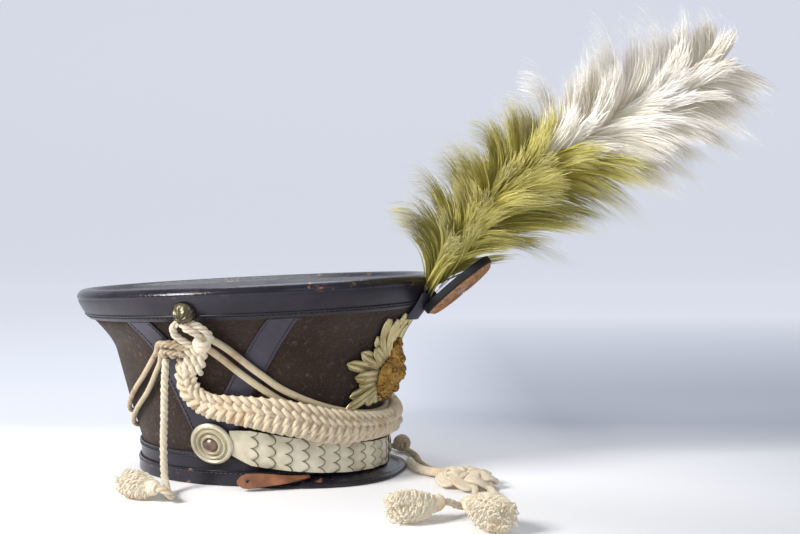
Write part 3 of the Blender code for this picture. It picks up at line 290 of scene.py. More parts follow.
def wall_point(turn, height, out=0.0):
    """A point off the felt: turn in degrees from the front towards the wearer's left."""
    angle = math.radians(turn)
    length, width = half_sizes(height)
    away = out * flare_stretch(height)
    place = Vector(((length + away) * math.cos(angle), (width + away) * math.sin(angle), 0))
    return MIDDLE + place + Vector((0, 0, height + tilt(turn, height)))


def wall_frame(turn, height, out=0.0):
    """A matrix whose Z points straight off the wall and whose Y points up along it."""
    along = wall_point(turn + 1, height) - wall_point(turn - 1, height)
    up = wall_point(turn, height + 0.004) - wall_point(turn, height - 0.004)
    off = along.cross(up).normalized()
    up = (up - up.dot(off) * off).normalized()
    placed = Matrix((up.cross(off), up, off)).transposed().to_4x4()
    placed.translation = wall_point(turn, height) + off * out
    return placed


def smooth_curve(points):
    points = [Vector(p) for p in points]
    ends = [points[0] * 2 - points[1], *points, points[-1] * 2 - points[-2]]
    fine = []
    for a, b, c, d in zip(ends, ends[1:], ends[2:], ends[3:]):
        for i in range(CURVE_STEPS):
            t = i / CURVE_STEPS
            bend = (-a + b * 3 - c * 3 + d) * t**3 + (a * 2 - b * 5 + c * 4 - d) * t**2
            fine.append((bend + (c - a) * t) / 2 + b)
    fine.append(points[-1])
    return fine


def even_steps(line, spacing):
    lengths = [0.0]
    for a, b in zip(line, line[1:]):
        lengths.append(lengths[-1] + (b - a).length)
    count = max(2, round(lengths[-1] / spacing))
    result, j = [], 0
    for i in range(count + 1):
        want = lengths[-1] * i / count
        while j < len(line) - 2 and lengths[j + 1] < want:
            j += 1
        share = (want - lengths[j]) / max(1e-9, lengths[j + 1] - lengths[j])
        result.append(line[j].lerp(line[j + 1], min(1.0, share)))
    return result


def curve_line(points, spacing):
    return even_steps(smooth_curve(points), spacing)


def wall_route(spots, spacing):
    """A route from the right side of the hat over its last spot to the same place on the left."""
    middle = spots[-1][0]
    route = [(-t, h, out) for t, h, out in spots]
    route += [(t - 2 * middle, h, out) for t, h, out in reversed(spots[:-1])]
    degree = math.radians(BASE_LENGTH / 2)
    fine = smooth_curve([(t * degree, h, out) for t, h, out in route])
    return even_steps([wall_point(p.x / degree, p.y, p.z) for p in fine], spacing)


def floor_route(points, spacing):
    return even_steps([MIDDLE + p for p in smooth_curve(points)], spacing)


def line_frames(line):
    """Each point of a line with two directions square to it that never flip over."""
    frames, side = [], None
    for i, place in enumerate(line):
        ahead = (line[min(i + 1, len(line) - 1)] - line[max(i - 1, 0)]).normalized()
        if side is None:
            side = ahead.cross(UP)
            if side.length < 0.1:
                side = ahead.cross(Vector((1, 0, 0)))
        side = (side - side.dot(ahead) * ahead).normalized()
        frames.append((place, side, side.cross(ahead).normalized()))
    return frames


# Materials


class Look:
    """A Principled material whose colour, roughness and relief come from a few patterns."""

    def __init__(self, name, metallic=0.0, roughness=0.5, coords="Object"):
        self.made = bpy.data.materials.new(name)
        self.made.use_nodes = True
        self.tree = self.made.node_tree
        self.shader = self.tree.nodes["Principled BSDF"]
        self.shader.inputs["Metallic"].default_value = metallic
        self.shader.inputs["Roughness"].default_value = roughness
        self.coords = self.tree.nodes.new("ShaderNodeTexCoord").outputs[coords]
        self.height = None

    def node(self, kind, **inputs):
        made = self.tree.nodes.new(kind)
        for key, value in inputs.items():
            made.inputs[key.replace("_", " ")].default_value = value
        return made

    def link(self, source, target):
        self.tree.links.new(source, target)

    def placed(self, stretch=(1, 1, 1), turn=(0, 0, 0)):
        mapping = self.node("ShaderNodeMapping")
        mapping.inputs["Scale"].default_value = stretch
        mapping.inputs["Rotation"].default_value = turn
        self.link(self.coords, mapping.inputs["Vector"])
        return mapping.outputs["Vector"]

    def noise(self, scale, detail=4.0, stretch=(1, 1, 1), roughness=0.55):
        made = self.node("ShaderNodeTexNoise", Scale=scale, Detail=detail, Roughness=roughness)
        self.link(self.placed(stretch), made.inputs["Vector"])
        return made.outputs["Fac"]

    def cells(self, scale, feature="F1", stretch=(1, 1, 1)):
        made = self.node("ShaderNodeTexVoronoi", Scale=scale)
        made.feature = feature
        self.link(self.placed(stretch), made.inputs["Vector"])
        return made.outputs["Distance"]

    def waves(self, scale, turn, distortion):
        made = self.node("ShaderNodeTexWave", Scale=scale, Distortion=distortion)
        self.link(self.placed(turn=turn), made.inputs["Vector"])
        return made.outputs["Fac"]

    def band(self, source, low, high):
        """Stretches the part of a pattern between two values over nought to one."""
        made = self.node("ShaderNodeMapRange")
        made.inputs["From Min"].default_value = low
        made.inputs["From Max"].default_value = high
        self.link(source, made.inputs["Value"])
        return made.outputs["Result"]

    def times(self, first, second):
        made = self.node("ShaderNodeMath")
        made.operation = "MULTIPLY"
        self.link(first, made.inputs[0])
        self.link(second, made.inputs[1])
        return made.outputs[0]

    def mix(self, fac, first, second):
        made = self.node("ShaderNodeMix")
        made.data_type = "RGBA"
        self.link(fac, made.inputs[0])
        for at, value in ((6, first), (7, second)):
            if isinstance(value, tuple):
                made.inputs[at].default_value = (*value, 1)
            else:
                self.link(value, made.inputs[at])
        return made.outputs[2]

    def colour(self, source):
        if isinstance(source, tuple):
            self.shader.inputs["Base Color"].default_value = (*source, 1)
        else:
            self.link(source, self.shader.inputs["Base Color"])

    def rough(self, source, low, high):
        made = self.node("ShaderNodeMapRange")
        made.inputs["To Min"].default_value = low
        made.inputs["To Max"].default_value = high
        self.link(source, made.inputs["Value"])
        self.link(made.outputs["Result"], self.shader.inputs["Roughness"])

    def relief(self, source, depth, strength=1.0):
        """Adds a bump over the reliefs added before it."""
        made = self.node("ShaderNodeBump", Strength=strength, Distance=depth)
        self.link(source, made.inputs["Height"])
        if self.height:
            self.link(self.height, made.inputs["Normal"])
        self.height = made.outputs["Normal"]
        self.link(self.height, self.shader.inputs["Normal"])

    def set(self, **values):
        for key, value in values.items():
            self.shader.inputs[key.replace("_", " ")].default_value = value
        return self


def felt_look():
    look = Look("napped_felt", roughness=0.95)
    nap = look.noise(900, 3)
    tufts = look.noise(210, 5, roughness=0.7)
    cloud = look.noise(16, 3)
    base = look.mix(look.band(cloud, 0.35, 0.65), (0.026, 0.016, 0.012), (0.044, 0.028, 0.021))
    worn = look.mix(look.band(tufts, 0.56, 0.74), base, (0.12, 0.084, 0.060))
    look.colour(look.mix(look.band(nap, 0.60, 0.80), worn, (0.17, 0.125, 0.095)))
    look.relief(tufts, 0.0012, 0.8)
    look.relief(nap, 0.0005, 0.9)
    look.set(Sheen_Weight=0.10, Sheen_Roughness=0.5, Specular_IOR_Level=0.12)
    return look.made


def leather_look(name, wear=0.0, gloss=(0.24, 0.42), tint=(0.0080, 0.0066, 0.0115)):
    """Black patent leather, crazed and rubbed, with brown where the lacquer has chipped."""
    look = Look(name)
    cloud = look.noise(34, 5)
    crease = look.cells(260, "DISTANCE_TO_EDGE", (1, 1, 0.6))
    grain = look.noise(1500, 2)
    pale = tuple(min(1.0, c * 2.0 + 0.005) for c in tint)
    body = look.mix(look.band(cloud, 0.3, 0.75), tint, pale)
    chips = look.noise(105, 7, (1, 1, 1.6), 0.72)
    patches = look.band(look.noise(24, 2), 0.46, 0.58)
    edge = 0.74 - wear * 0.15
    bare = look.times(look.band(chips, edge, edge + 0.06), patches)
    look.colour(look.mix(bare, body, (0.22, 0.115, 0.06)))
    look.rough(cloud, *gloss)
    look.relief(look.band(crease, 0.0, 0.10), 0.00012, 0.5)
    look.relief(grain, 0.00008, 0.5)
    look.relief(cloud, 0.0016, 0.35)
    look.set(Coat_Weight=0.12, Coat_Roughness=0.2, Specular_IOR_Level=0.3)
    return look.made


def plain_leather_look(name, dark, light):
    look = Look(name, roughness=0.6)
    cloud = look.noise(90, 6)
    look.colour(look.mix(look.band(cloud, 0.3, 0.7), dark, light))
    look.rough(cloud, 0.45, 0.7)
    look.relief(look.cells(1100), 0.0002, 0.6)
    return look.made


def metal_look(name, dark, light, dirt, metallic=0.9, grain=0.0):
    look = Look(name, metallic=metallic)
    cloud = look.noise(60, 6)
    tarnish = look.noise(260, 5, roughness=0.7)
    body = look.mix(look.band(cloud, 0.3, 0.7), dark, light)
    look.colour(look.mix(look.band(tarnish, 0.60, 0.78), body, dirt))
    look.rough(tarnish, 0.28, 0.5)
    look.relief(look.noise(900, 3), 0.00010, 0.5)
    look.relief(cloud, 0.0006, 0.25)
    if grain:
        look.relief(look.cells(420), grain, 0.9)
    return look.made


def cord_look(name, dark, light, stain, painted_glow=0.0):
    """Wool or silk cord: fine yarns that run aslant round it, on the piece's own UV map."""
    look = Look(name, roughness=0.85, coords="UV")
    yarn = look.waves(7.0, (0, 0, math.radians(38)), 1.2)
    fuzz = look.noise(55)
    look.coords = look.tree.nodes.new("ShaderNodeTexCoord").outputs["Object"]
    cloud = look.noise(42)
    blotch = look.noise(130)
    body = look.mix(look.band(yarn, 0.1, 0.8), dark, light)
    body = look.mix(look.band(cloud, 0.56, 0.72), body, stain)
    body = look.mix(look.band(blotch, 0.62, 0.8), body, tuple(c * 0.6 for c in stain))
    look.colour(body)
    # Painted glow: emission in the cord's own colour lightens its shadows, standing in for bounce
    # light.
    if painted_glow:
        look.link(body, look.shader.inputs["Emission Color"])
        look.set(Emission_Strength=painted_glow)
    look.relief(yarn, 0.0006, 0.7)
    look.relief(fuzz, 0.0003, 0.6)
    look.set(Sheen_Weight=0.2, Sheen_Roughness=0.5, Specular_IOR_Level=0.25)
    return look.made


def feather_look(name, root, dark, light, tip, painted_glow):
    """Barbs: dark at the root as painted shade in the plume's core, each with its own tone, pale at
    the tip, with a painted glow. The tones are attributes.
    """
    look = Look(name, roughness=0.62)
    tone = look.node("ShaderNodeAttribute")
    tone.attribute_name = "tone"
    reach = look.node("ShaderNodeAttribute")
    reach.attribute_name = "reach"
    body = look.mix(tone.outputs["Fac"], dark, light)
    # Painted shade: barbs darken towards the root, in the plume's core.
    body = look.mix(look.band(reach.outputs["Fac"], 0.0, 0.42), root, body)
    body = look.mix(look.band(reach.outputs["Fac"], 0.72, 1.1), body, tip)
    look.colour(body)
    # Painted glow: emission in the barbs' own colour lightens their shadows.
    look.link(body, look.shader.inputs["Emission Color"])
    look.set(Emission_Strength=painted_glow)
    look.set(Sheen_Weight=0.25, Specular_IOR_Level=0.3)
    return look.made


def silk_look():
    look = Look("copper_ribs", roughness=0.5)
    cloud = look.noise(300, 4)
    look.colour(look.mix(look.band(cloud, 0.35, 0.7), (0.20, 0.075, 0.022), (0.50, 0.25, 0.10)))
    look.relief(look.noise(1400, 2), 0.0003, 0.6)
    look.set(Sheen_Weight=0.3)
    return look.made


def cloth_look():
    look = Look("black_cloth", roughness=0.9)
    weave = look.cells(1600)
    look.colour(look.mix(weave, (0.004, 0.004, 0.005), (0.02, 0.02, 0.025)))
    look.relief(weave, 0.0003, 0.7)
    return look.made


LOOKS = {
    "felt": felt_look(),
    "patent": leather_look("patent_leather"),
    "rim": leather_look("worn_patent_rim", 1.1, (0.12, 0.28)),
    # The top disc's leather is paler than the rest: painted reflection of the pale surroundings on its
    # top.
    "disc": leather_look("patent_top_painted_reflection", 0.0, (0.26, 0.42), (0.046, 0.046, 0.056)),
    "strap": leather_look("patent_straps", 0.1, (0.34, 0.5), (0.029, 0.026, 0.040)),
    "lining": plain_leather_look("dark_lining", (0.012, 0.009, 0.008), (0.05, 0.035, 0.025)),
    "tan": plain_leather_look("tan_leather", (0.09, 0.032, 0.015), (0.27, 0.105, 0.042)),
    "thread": plain_leather_look("waxed_thread", (0.006, 0.006, 0.008), (0.03, 0.028, 0.03)),
    "pale_brass": metal_look(
        "pale_brass", (0.46, 0.39, 0.19), (0.74, 0.66, 0.40), (0.10, 0.07, 0.03),
    ),
    "gilt": metal_look(
        "old_gilt", (0.19, 0.092, 0.015), (0.50, 0.30, 0.085), (0.035, 0.016, 0.008),
        grain=0.0010,
    ),
    "dark_gilt": metal_look(
        "dark_gilt", (0.04, 0.036, 0.028), (0.30, 0.26, 0.16), (0.010, 0.009, 0.008),
        grain=0.0006,
    ),
    "ivory": metal_look(
        "ivory_plate", (0.47, 0.42, 0.29), (0.71, 0.67, 0.53), (0.26, 0.20, 0.09), 0.45,
    ),
    # Painted shadow: the dark lines along the chin plates' front edges.
    "scale_shade_line": metal_look(
        "scale_shadow", (0.10, 0.085, 0.04), (0.2, 0.17, 0.09), (0.03, 0.02, 0.01), 0.3,
    ),
    "rivet": metal_look("rivet_head", (0.12, 0.08, 0.07), (0.34, 0.24, 0.20), (0.05, 0.03, 0.02)),
    "wire": metal_look("dark_wire", (0.02, 0.02, 0.02), (0.08, 0.07, 0.06), (0.05, 0.02, 0.01)),
    # The plait, pale cord and fringe carry a painted glow: emission that lightens their shadows.
    "plait": cord_look(
        "cream_plait", (0.60, 0.45, 0.27), (0.95, 0.85, 0.66), (0.62, 0.41, 0.22), painted_glow=0.06,
    ),
    "rope": cord_look("tan_rope", (0.50, 0.39, 0.22), (0.86, 0.75, 0.53), (0.56, 0.38, 0.20)),
    "white_cord": cord_look(
        "pale_cord", (0.64, 0.51, 0.33), (0.95, 0.88, 0.73), (0.66, 0.47, 0.28), painted_glow=0.12,
    ),
    "stained": cord_look(
        "stained_cord", (0.46, 0.31, 0.17), (0.86, 0.73, 0.54), (0.34, 0.17, 0.08),
    ),
    "fringe": cord_look(
        "fringe", (0.84, 0.69, 0.44), (0.99, 0.95, 0.84), (0.74, 0.47, 0.22), painted_glow=0.20,
    ),
    # Feathers: the root colour is painted shade in the plume's core, and the last number a painted
    # glow.
    "green": feather_look(
        "green_feather", (0.16, 0.13, 0.022), (0.28, 0.25, 0.040), (0.64, 0.58, 0.15),
        (0.74, 0.69, 0.27), 0.09,
    ),
    "white": feather_look(
        "white_feather", (0.56, 0.47, 0.34), (0.80, 0.75, 0.65), (0.95, 0.93, 0.89),
        (0.95, 0.94, 0.92), 0.07,
    ),
    "silk": silk_look(),
    "cloth": cloth_look(),
}


# Making pieces


def placed_object(name, data):
    made = bpy.data.objects.new(name, data)
    bpy.context.collection.objects.link(made)
    return made


def only(thing):
    bpy.ops.object.select_all(action="DESELECT")
    thing.select_set(True)
    bpy.context.view_layer.objects.active = thing


def finish_piece(piece, name, look, nodes=(), angle=40):
    """Names a piece, gives it its finish and its place in the frame."""
    piece.name = piece.data.name = name
    piece.data.materials.clear()
    piece.data.materials.append(LOOKS[look])
    only(piece)
    bpy.ops.object.transform_apply(location=True, rotation=True, scale=True)
    bpy.ops.object.shade_smooth_by_angle(angle=math.radians(angle))
    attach(piece, "root")
    if nodes:
        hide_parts(*nodes)
    return piece


def apply_modifier(piece, kind, **values):
    made = piece.modifiers.new(kind.lower(), kind)
    for key, value in values.items():
        setattr(made, key, value)
    only(piece)
    bpy.ops.object.modifier_apply(modifier=made.name)


def outward(place):
    """Away from the hat's own axis."""
    return Vector((place.x - MIDDLE.x, place.y, 0.03))


def thicken(piece, thickness, side=1, facing=outward, bevel=0.0):
    """Turns an open surface to face the way wanted, then gives it its thickness."""
    mesh = piece.data
    faces = sum(f.normal.dot(facing(f.center)) for f in mesh.polygons)
    if faces < 0:
        mesh.flip_normals()
    apply_modifier(piece, "SOLIDIFY", thickness=thickness, offset=side)
    if bevel:
        apply_modifier(piece, "BEVEL", width=bevel, segments=2, limit_method="ANGLE",
                       angle_limit=math.radians(50))


def bent_sheet(place, columns, rows):
    """A grid bent so that each of its points goes where place(across, along) says."""
    bpy.ops.mesh.primitive_grid_add(x_subdivisions=columns, y_subdivisions=rows, size=2)
    piece = bpy.context.object
    for vertex in piece.data.vertices:
        vertex.co = place((vertex.co.x + 1) / 2, (vertex.co.y + 1) / 2)
    piece.data.update()
    return piece


def ring_shell(rings, cap=False):
    """A circle extruded through ovals of half length, half width and height."""
    bpy.ops.mesh.primitive_circle_add(vertices=SIDES, radius=1)
    shell = bpy.context.object
    length, width, height = rings[0]
    bpy.ops.object.mode_set(mode="EDIT")
    bpy.ops.mesh.select_all(action="SELECT")
    bpy.ops.transform.resize(value=(length, width, 1))
    bpy.ops.transform.translate(value=(MIDDLE.x, 0, height))
    for before, after in zip(rings, rings[1:]):
        rise = {"value": (0, 0, after[2] - before[2])}
        bpy.ops.mesh.extrude_region_move(TRANSFORM_OT_translate=rise)
        bpy.ops.transform.resize(
            value=(after[0] / before[0], after[1] / before[1], 1),
            center_override=(MIDDLE.x, 0, after[2]),
        )
    if cap:
        bpy.ops.mesh.edge_face_add()
    bpy.ops.object.mode_set(mode="OBJECT")
    for vertex in shell.data.vertices:
        height = min(vertex.co.z, WALL_HEIGHT)
        across = (vertex.co.x - MIDDLE.x) / half_sizes(height)[0]
        vertex.co.z += TOP_TILT * clamp(across, -1, 1) * (height / WALL_HEIGHT) ** 2
    shell.data.update()
    return shell


def wall_rings(low, high, out):
    count = max(1, round((high - low) / 0.004))
    rings = []
    for i in range(count + 1):
        height = between(low, high, i / count)
        length, width = half_sizes(height)
        away = out * flare_stretch(height)
        rings.append((length + away, width + away, height))
    return rings


def spun(profile, radius, height, placed, steps=48):
    """A profile spun about its axis in edit mode, then set in a frame."""
    mesh = bpy.data.meshes.new("profile")
    points = [(r * radius, 0, h * height) for r, h in profile]
    mesh.from_pydata(points, [(i, i + 1) for i in range(len(points) - 1)], [])
    piece = placed_object("profile", mesh)
    only(piece)
    bpy.ops.object.mode_set(mode="EDIT")
    bpy.ops.mesh.select_all(action="SELECT")
    bpy.ops.mesh.spin(steps=steps, angle=math.tau, center=(0, 0, 0), axis=(0, 0, 1))
    bpy.ops.mesh.select_all(action="SELECT")
    bpy.ops.mesh.remove_doubles(threshold=0.00001)
    bpy.ops.mesh.select_all(action="DESELECT")
    bpy.ops.mesh.select_non_manifold()
    bpy.ops.mesh.edge_face_add()
    bpy.ops.mesh.select_all(action="SELECT")
    bpy.ops.mesh.normals_make_consistent(inside=False)
    bpy.ops.object.mode_set(mode="OBJECT")
    piece.data.transform(placed)
    return piece


def merge_doubles(piece, distance):
    only(piece)
    bpy.ops.object.mode_set(mode="EDIT")
    bpy.ops.mesh.select_all(action="SELECT")
    bpy.ops.mesh.remove_doubles(threshold=distance)
    bpy.ops.object.mode_set(mode="OBJECT")


def joined(pieces):
    """Several pieces as one."""
    bpy.ops.object.select_all(action="DESELECT")
    for piece in pieces:
        piece.select_set(True)
    bpy.context.view_layer.objects.active = pieces[0]
    if len(pieces) > 1:
        bpy.ops.object.join()
    return pieces[0]


class Strands:
    """Tubes and ribbons gathered into one mesh, with a UV map, a tone and a reach."""

    def __init__(self):
        self.points, self.faces, self.uvs, self.tones, self.reaches = [], [], [], [], []

    def add(self, point, tone, reach):
        self.points.append(tuple(point))
        self.tones.append(tone)
        self.reaches.append(reach)

    def tube(self, frames, radius, sides=8, tone=0.5, flat=1.0):
        """radius is a number or a function of the share along; flat squashes it across."""
        first, count, along = len(self.points), len(frames), 0.0
        marks = []
        for i, (place, side, up) in enumerate(frames):
            share = i / (count - 1)
            girth = radius(share) if callable(radius) else radius
            if i:
                along += (place - frames[i - 1][0]).length
            marks.append(along / (girth * math.tau + 1e-9) if not callable(radius) else along * 90)
            for k in range(sides):
                a = math.tau * k / sides
                round_it = side * (girth * math.cos(a)) + up * (girth * flat * math.sin(a))
                self.add(place + round_it, tone, share)
        for i in range(count - 1):
            for k in range(sides):
                j = (k + 1) % sides
                low, high = first + i * sides, first + (i + 1) * sides
                self.faces.append((low + k, low + j, high + j, high + k))
                u, w = k / sides, (k + 1) / sides
                self.uvs += [(u, marks[i]), (w, marks[i]), (w, marks[i + 1]), (u, marks[i + 1])]
        last = first + (count - 1) * sides
        for ring in (tuple(range(first + sides - 1, first - 1, -1)), tuple(range(last, last + sides))):
            self.faces.append(ring)
            self.uvs += [(0.5, 0.5)] * sides

    def along(self, line, radius, sides=8, tone=0.5):
        self.tube(line_frames(line), radius, sides, tone)

    def ribbon(self, line, side, width, tone):
        first, count = len(self.points), len(line)
        for i, place in enumerate(line):
            share = i / (count - 1)
            swell = 0.6 + 0.4 * math.sin(math.pi * min(1, share * 1.2))
            half = width * swell * (1 - share**5 * 0.8) / 2
            self.add(place - side * half, tone, share)
            self.add(place + side * half, tone, share)
        for i in range(count - 1):
            a = first + 2 * i
            self.faces.append((a, a + 1, a + 3, a + 2))
            self.uvs += [(0, i / count), (1, i / count), (1, (i + 1) / count), (0, (i + 1) / count)]

    def twisted(self, line, diameter, plies=3, pitch=2.4):
        """A laid rope: its plies wind round the line once in each pitch of its diameter."""
        frames = line_frames(line)
        girth = diameter * (0.25 if plies == 2 else 0.235)
        offset = diameter / 2 - girth
        for ply in range(plies):
            places, along = [], 0.0
            for i, (place, side, up) in enumerate(frames):
                if i:
                    along += (place - frames[i - 1][0]).length
                a = math.tau * (ply / plies + along / (pitch * diameter))
                places.append(place + side * (offset * math.cos(a)) + up * (offset * math.sin(a)))
            self.along(places, girth)

    def wound(self, start, end, radius, girth, turns, sides=7, tone=0.5):
        """A cord wound round the way from start to end."""
        ahead = (end - start).normalized()
        side = ahead.cross(Vector((0.1, 0.2, 1))).normalized()
        up = side.cross(ahead)
        count = int(turns * 14)
        places = []
        for i in range(count + 1):
            share = i / count
            a = math.tau * turns * share
            swell = radius(share) if callable(radius) else radius
            ring = side * (swell * math.cos(a)) + up * (swell * math.sin(a))
            places.append(start.lerp(end, share) + ring)
        self.along(places, girth, sides, tone)

    def build(self):
        mesh = bpy.data.meshes.new("strands")
        mesh.from_pydata(self.points, [], self.faces)
        layer = mesh.uv_layers.new(name="UVMap")
        layer.data.foreach_set("uv", [c for uv in self.uvs for c in uv])
        for name, values in (("tone", self.tones), ("reach", self.reaches)):
            attribute = mesh.attributes.new(name, "FLOAT", "POINT")
            attribute.data.foreach_set("value", values)
        mesh.validate()
        return placed_object("strands", mesh)


# Camera first, then the free cords

CAMERA_TURN, CAMERA_DROP = math.radians(16), math.radians(2)
CAMERA_PLACE, LENS, SENSOR = (0.4035, -0.961, 0.207), 54.2, 36
camera_data = bpy.data.cameras.new("camera")
camera_data.lens, camera_data.sensor_width = LENS, SENSOR
camera = placed_object("camera", camera_data)
camera.location = MIDDLE + Vector(CAMERA_PLACE)
camera.rotation_euler = (math.pi / 2 - CAMERA_DROP, 0, CAMERA_TURN)
bpy.context.scene.camera = camera


def free_cord(name, points, diameter, node, look):
    """A laid cord along a route."""
    line = even_steps(points, diameter * 0.45)
    strands = Strands()
    strands.twisted(line, diameter)
    piece = finish_piece(strands.build(), name, look, (node,), 60)
    tuple(points[0])
    [tuple(p) for p in even_steps(points, diameter)]
    return piece


def lay_tassel(name, ends, radius, node, seed, curls):
    """Curled bullion fringe that spreads from a wound head and lies on the surface."""
    rng = random.Random(seed)
    start, end = (MIDDLE + Vector(p) for p in ends)
    ahead = (end - start).normalized()
    side = ahead.cross(UP).normalized()
    up = side.cross(ahead)
    length = (end - start).length
    strands = Strands()
    strands.wound(
        start, start + ahead * length * 0.22,
        lambda s: radius * (0.22 + 0.22 * math.sin(math.pi * s)), radius * 0.13, 5, tone=0.6,
    )
    for _ in range(curls):
        a, r = rng.uniform(0, math.tau), math.sqrt(rng.uniform(0.05, 1.0))
        reach = rng.uniform(0.55, 1.02)
        wave, pitch = rng.uniform(0.6, 1.25) * 0.0021, rng.uniform(0.0040, 0.0068)
        phase, bend = rng.uniform(0, math.tau), rng.uniform(-0.25, 0.25)
        begin = rng.uniform(0.02, 0.45)
        places = []
        for i in range(CURL_STEPS + 1):
            t = i / CURL_STEPS
            along = between(begin, reach, t) * length
            swell = radius * 0.90 * r * (0.4 + 0.6 * min(1, t * 2.2))
            swell = swell * (0.55 + 0.45 * min(1.0, along / length * 2))
            spin = a + bend * t
            coil = math.tau * along / pitch + phase
            place = start + ahead * along
            place = place + side * (swell * math.cos(spin) + wave * math.cos(coil))
            place = place + up * (swell * math.sin(spin) * 0.92 + wave * math.sin(coil))
            place.z = max(place.z, 0.0009)
            places.append(place)
        strands.along(places, rng.uniform(0.00055, 0.0009), 4, rng.random())
    return finish_piece(strands.build(), name, "fringe", (node,), 60)


tassel_tail = lay_tassel("small_tassel", TAIL_TASSEL, 0.0108, "tassel_tail", 5, 200)
tassel_a = lay_tassel("tassel_near", TASSEL_A, 0.0118, "tassel_a", 7, 300)
tassel_b = lay_tassel("tassel_far", TASSEL_B, 0.0128, "tassel_b", 11, 330)

tail_line = floor_route(TAIL_ROUTE, 0.002)
free_cord("hanging_cord", tail_line, TAIL, "tail_cord", "white_cord")

front_line = floor_route(FRONT_CORD_ROUTE, 0.0005)
slide_middle = MIDDLE + Vector(FRONT_CORD_ROUTE[SLIDE_AT])
nearest = min(range(len(front_line)), key=lambda i: (front_line[i] - slide_middle).length)
clear = SLIDE_DIAMETER / 2 + GAP
front_upper = [p for p in front_line[:nearest] if (p - slide_middle).length > clear]
front_lower = [p for p in front_line[nearest:] if (p - slide_middle).length > clear]


def build_slide():
    """A ball of wound cord that slides on the front cord."""
    ahead = (front_lower[0] - front_upper[-1]).normalized()
    half = SLIDE_DIAMETER / 2
    middle = slide_middle + Vector((0, 0, half + GAP - slide_middle.z))
    strands = Strands()
    girth = 0.0012
    for tier in range(2):
        strands.wound(
            middle - ahead * half, middle + ahead * half,
            lambda s: half * math.sqrt(max(0.04, 1 - (2 * s - 1) ** 2)) - girth * (1 + tier), girth, 8,
        )
    return finish_piece(strands.build(), "cord_slide", "stained", ("slide",), 60)


def build_flounder():
    """A flat knot of doubled cord, woven over and under round its oval, with a loop at one end."""
    start, end = (MIDDLE + Vector(p) for p in (FLOUNDER_FROM, FLOUNDER_TO))
    ahead = (end - start).normalized()
    side = ahead.cross(UP).normalized()
    middle = start + ahead * FLOUNDER_LENGTH / 2
    strands = Strands()
    bights, leads, girth, steps = 7, 3, 0.0019, 460
    for ply in (-1.5, -0.5, 0.5, 1.5):
        places = []
        for i in range(steps + 1):
            t = math.tau * leads * i / steps
            wave = math.cos(bights * t / leads)
            out = 0.57 + 0.28 * wave + 0.085 * ply
            weave = 0.0024 * math.sin(2 * bights * t / leads)
            dome = 0.0072 * (1 - (out - 0.45) ** 2 * 2.2)
            places.append(
                middle + ahead * (out * FLOUNDER_LENGTH / 2 * 0.94 * math.cos(t))
                + side * (out * FLOUNDER_WIDTH / 2 * 0.94 * math.sin(t))
                + Vector((0, 0, weave + dome - 0.0066))
            )
        low = min(p.z for p in places)
        places = [p + Vector((0, 0, max(0, girth + 0.0006 - low))) for p in places]
        strands.along(places, girth, 7, 0.5 + 0.2 * ply)
    loop = curve_line([MIDDLE + Vector(p) for p in FLOUNDER_LOOP], 0.0012)
    strands.along(loop, lambda s: 0.0036 * (1 - clamp((s - 0.93) / 0.07) ** 2 * 0.75), 12)
    return finish_piece(strands.build(), "woven_knot", "white_cord", ("flounder",), 60)


slide = build_slide()
flounder = build_flounder()
free_cord("front_cord_hanging", front_upper, FRONT_CORD, "front_cord_upper", "rope")
free_cord("front_cord_lying", front_lower, FRONT_CORD, "front_cord_lower", "rope")
lead_a_line, lead_b_line = (floor_route(r, 0.001) for r in (LEAD_A_ROUTE, LEAD_B_ROUTE))
free_cord("tassel_lead_near", lead_a_line, FRONT_CORD, "lead_a", "white_cord")
free_cord("tassel_lead_far", lead_b_line, FRONT_CORD, "lead_b", "white_cord")


# Crown


def build_crown():
    wall = ring_shell(wall_rings(0, WALL_HEIGHT, 0))
    thicken(wall, FELT, -1)
    finish_piece(wall, "felt_crown", "felt", ("crown_wall",))
    low, over_band = WALL_HEIGHT - TOP_BAND_DEPTH, LAY_GAP * 2 + BAND
    for name, node, foot, top, out, leather, bevel, look in (
        ("leather_top_band", "top_band", low, WALL_HEIGHT, LAY_GAP, BAND, SOFT_EDGE, "patent"),
        ("leather_base_band", "base_band", 0, BASE_BAND_DEPTH, LAY_GAP, BAND, SOFT_EDGE, "patent"),
        ("leather_binding", "base_binding", 0, BINDING_DEPTH, over_band, BINDING, BINDING_EDGE, "rim"),
    ):
        band = ring_shell(wall_rings(foot, top, out))
        thicken(band, leather, 1, bevel=bevel)
        finish_piece(band, name, look, (node,))


def build_top():
    """The disc: a rolled rim that swells over the band, and a shallow dish inside it."""
    length, width = half_sizes(WALL_HEIGHT)
    edge = (LAY_GAP + BAND) * flare_stretch(WALL_HEIGHT)
    rings = []
    for inset, rise in RIM_PROFILE:
        away = edge - inset * ROLL_WIDTH
        rings.append((length + away, width + away, WALL_HEIGHT + GAP + rise * ROLL_HEIGHT))
    for share in (0.86, 0.8, 0.7, 0.55, 0.4, 0.25, 0.1):
        dip = TOP_DISH * (1 - share**4) ** 0.8
        rings.append((length * share, width * share, WALL_HEIGHT + GAP + ROLL_HEIGHT * 0.18 - dip))
    top = ring_shell(rings, cap=True)
    thicken(top, TOP_LEATHER, -1, facing=lambda place: UP)
    for vertex in top.data.vertices:
        across, along = vertex.co.y, vertex.co.x - MIDDLE.x
        middle = clamp(1 - math.hypot(across / width, along / length) * 1.1)
        vertex.co.z += 0.0011 * middle * math.sin(along * 52 + across * 21)
    finish_piece(top, "leather_top", "disc", ("crown_top",))
    top.data.materials.append(LOOKS["rim"])
    for face in top.data.polygons:
        inside = math.hypot(face.center.y / width, (face.center.x - MIDDLE.x) / length)
        if inside > 1 - ROLL_WIDTH * 0.9 / length:
            face.material_index = 1


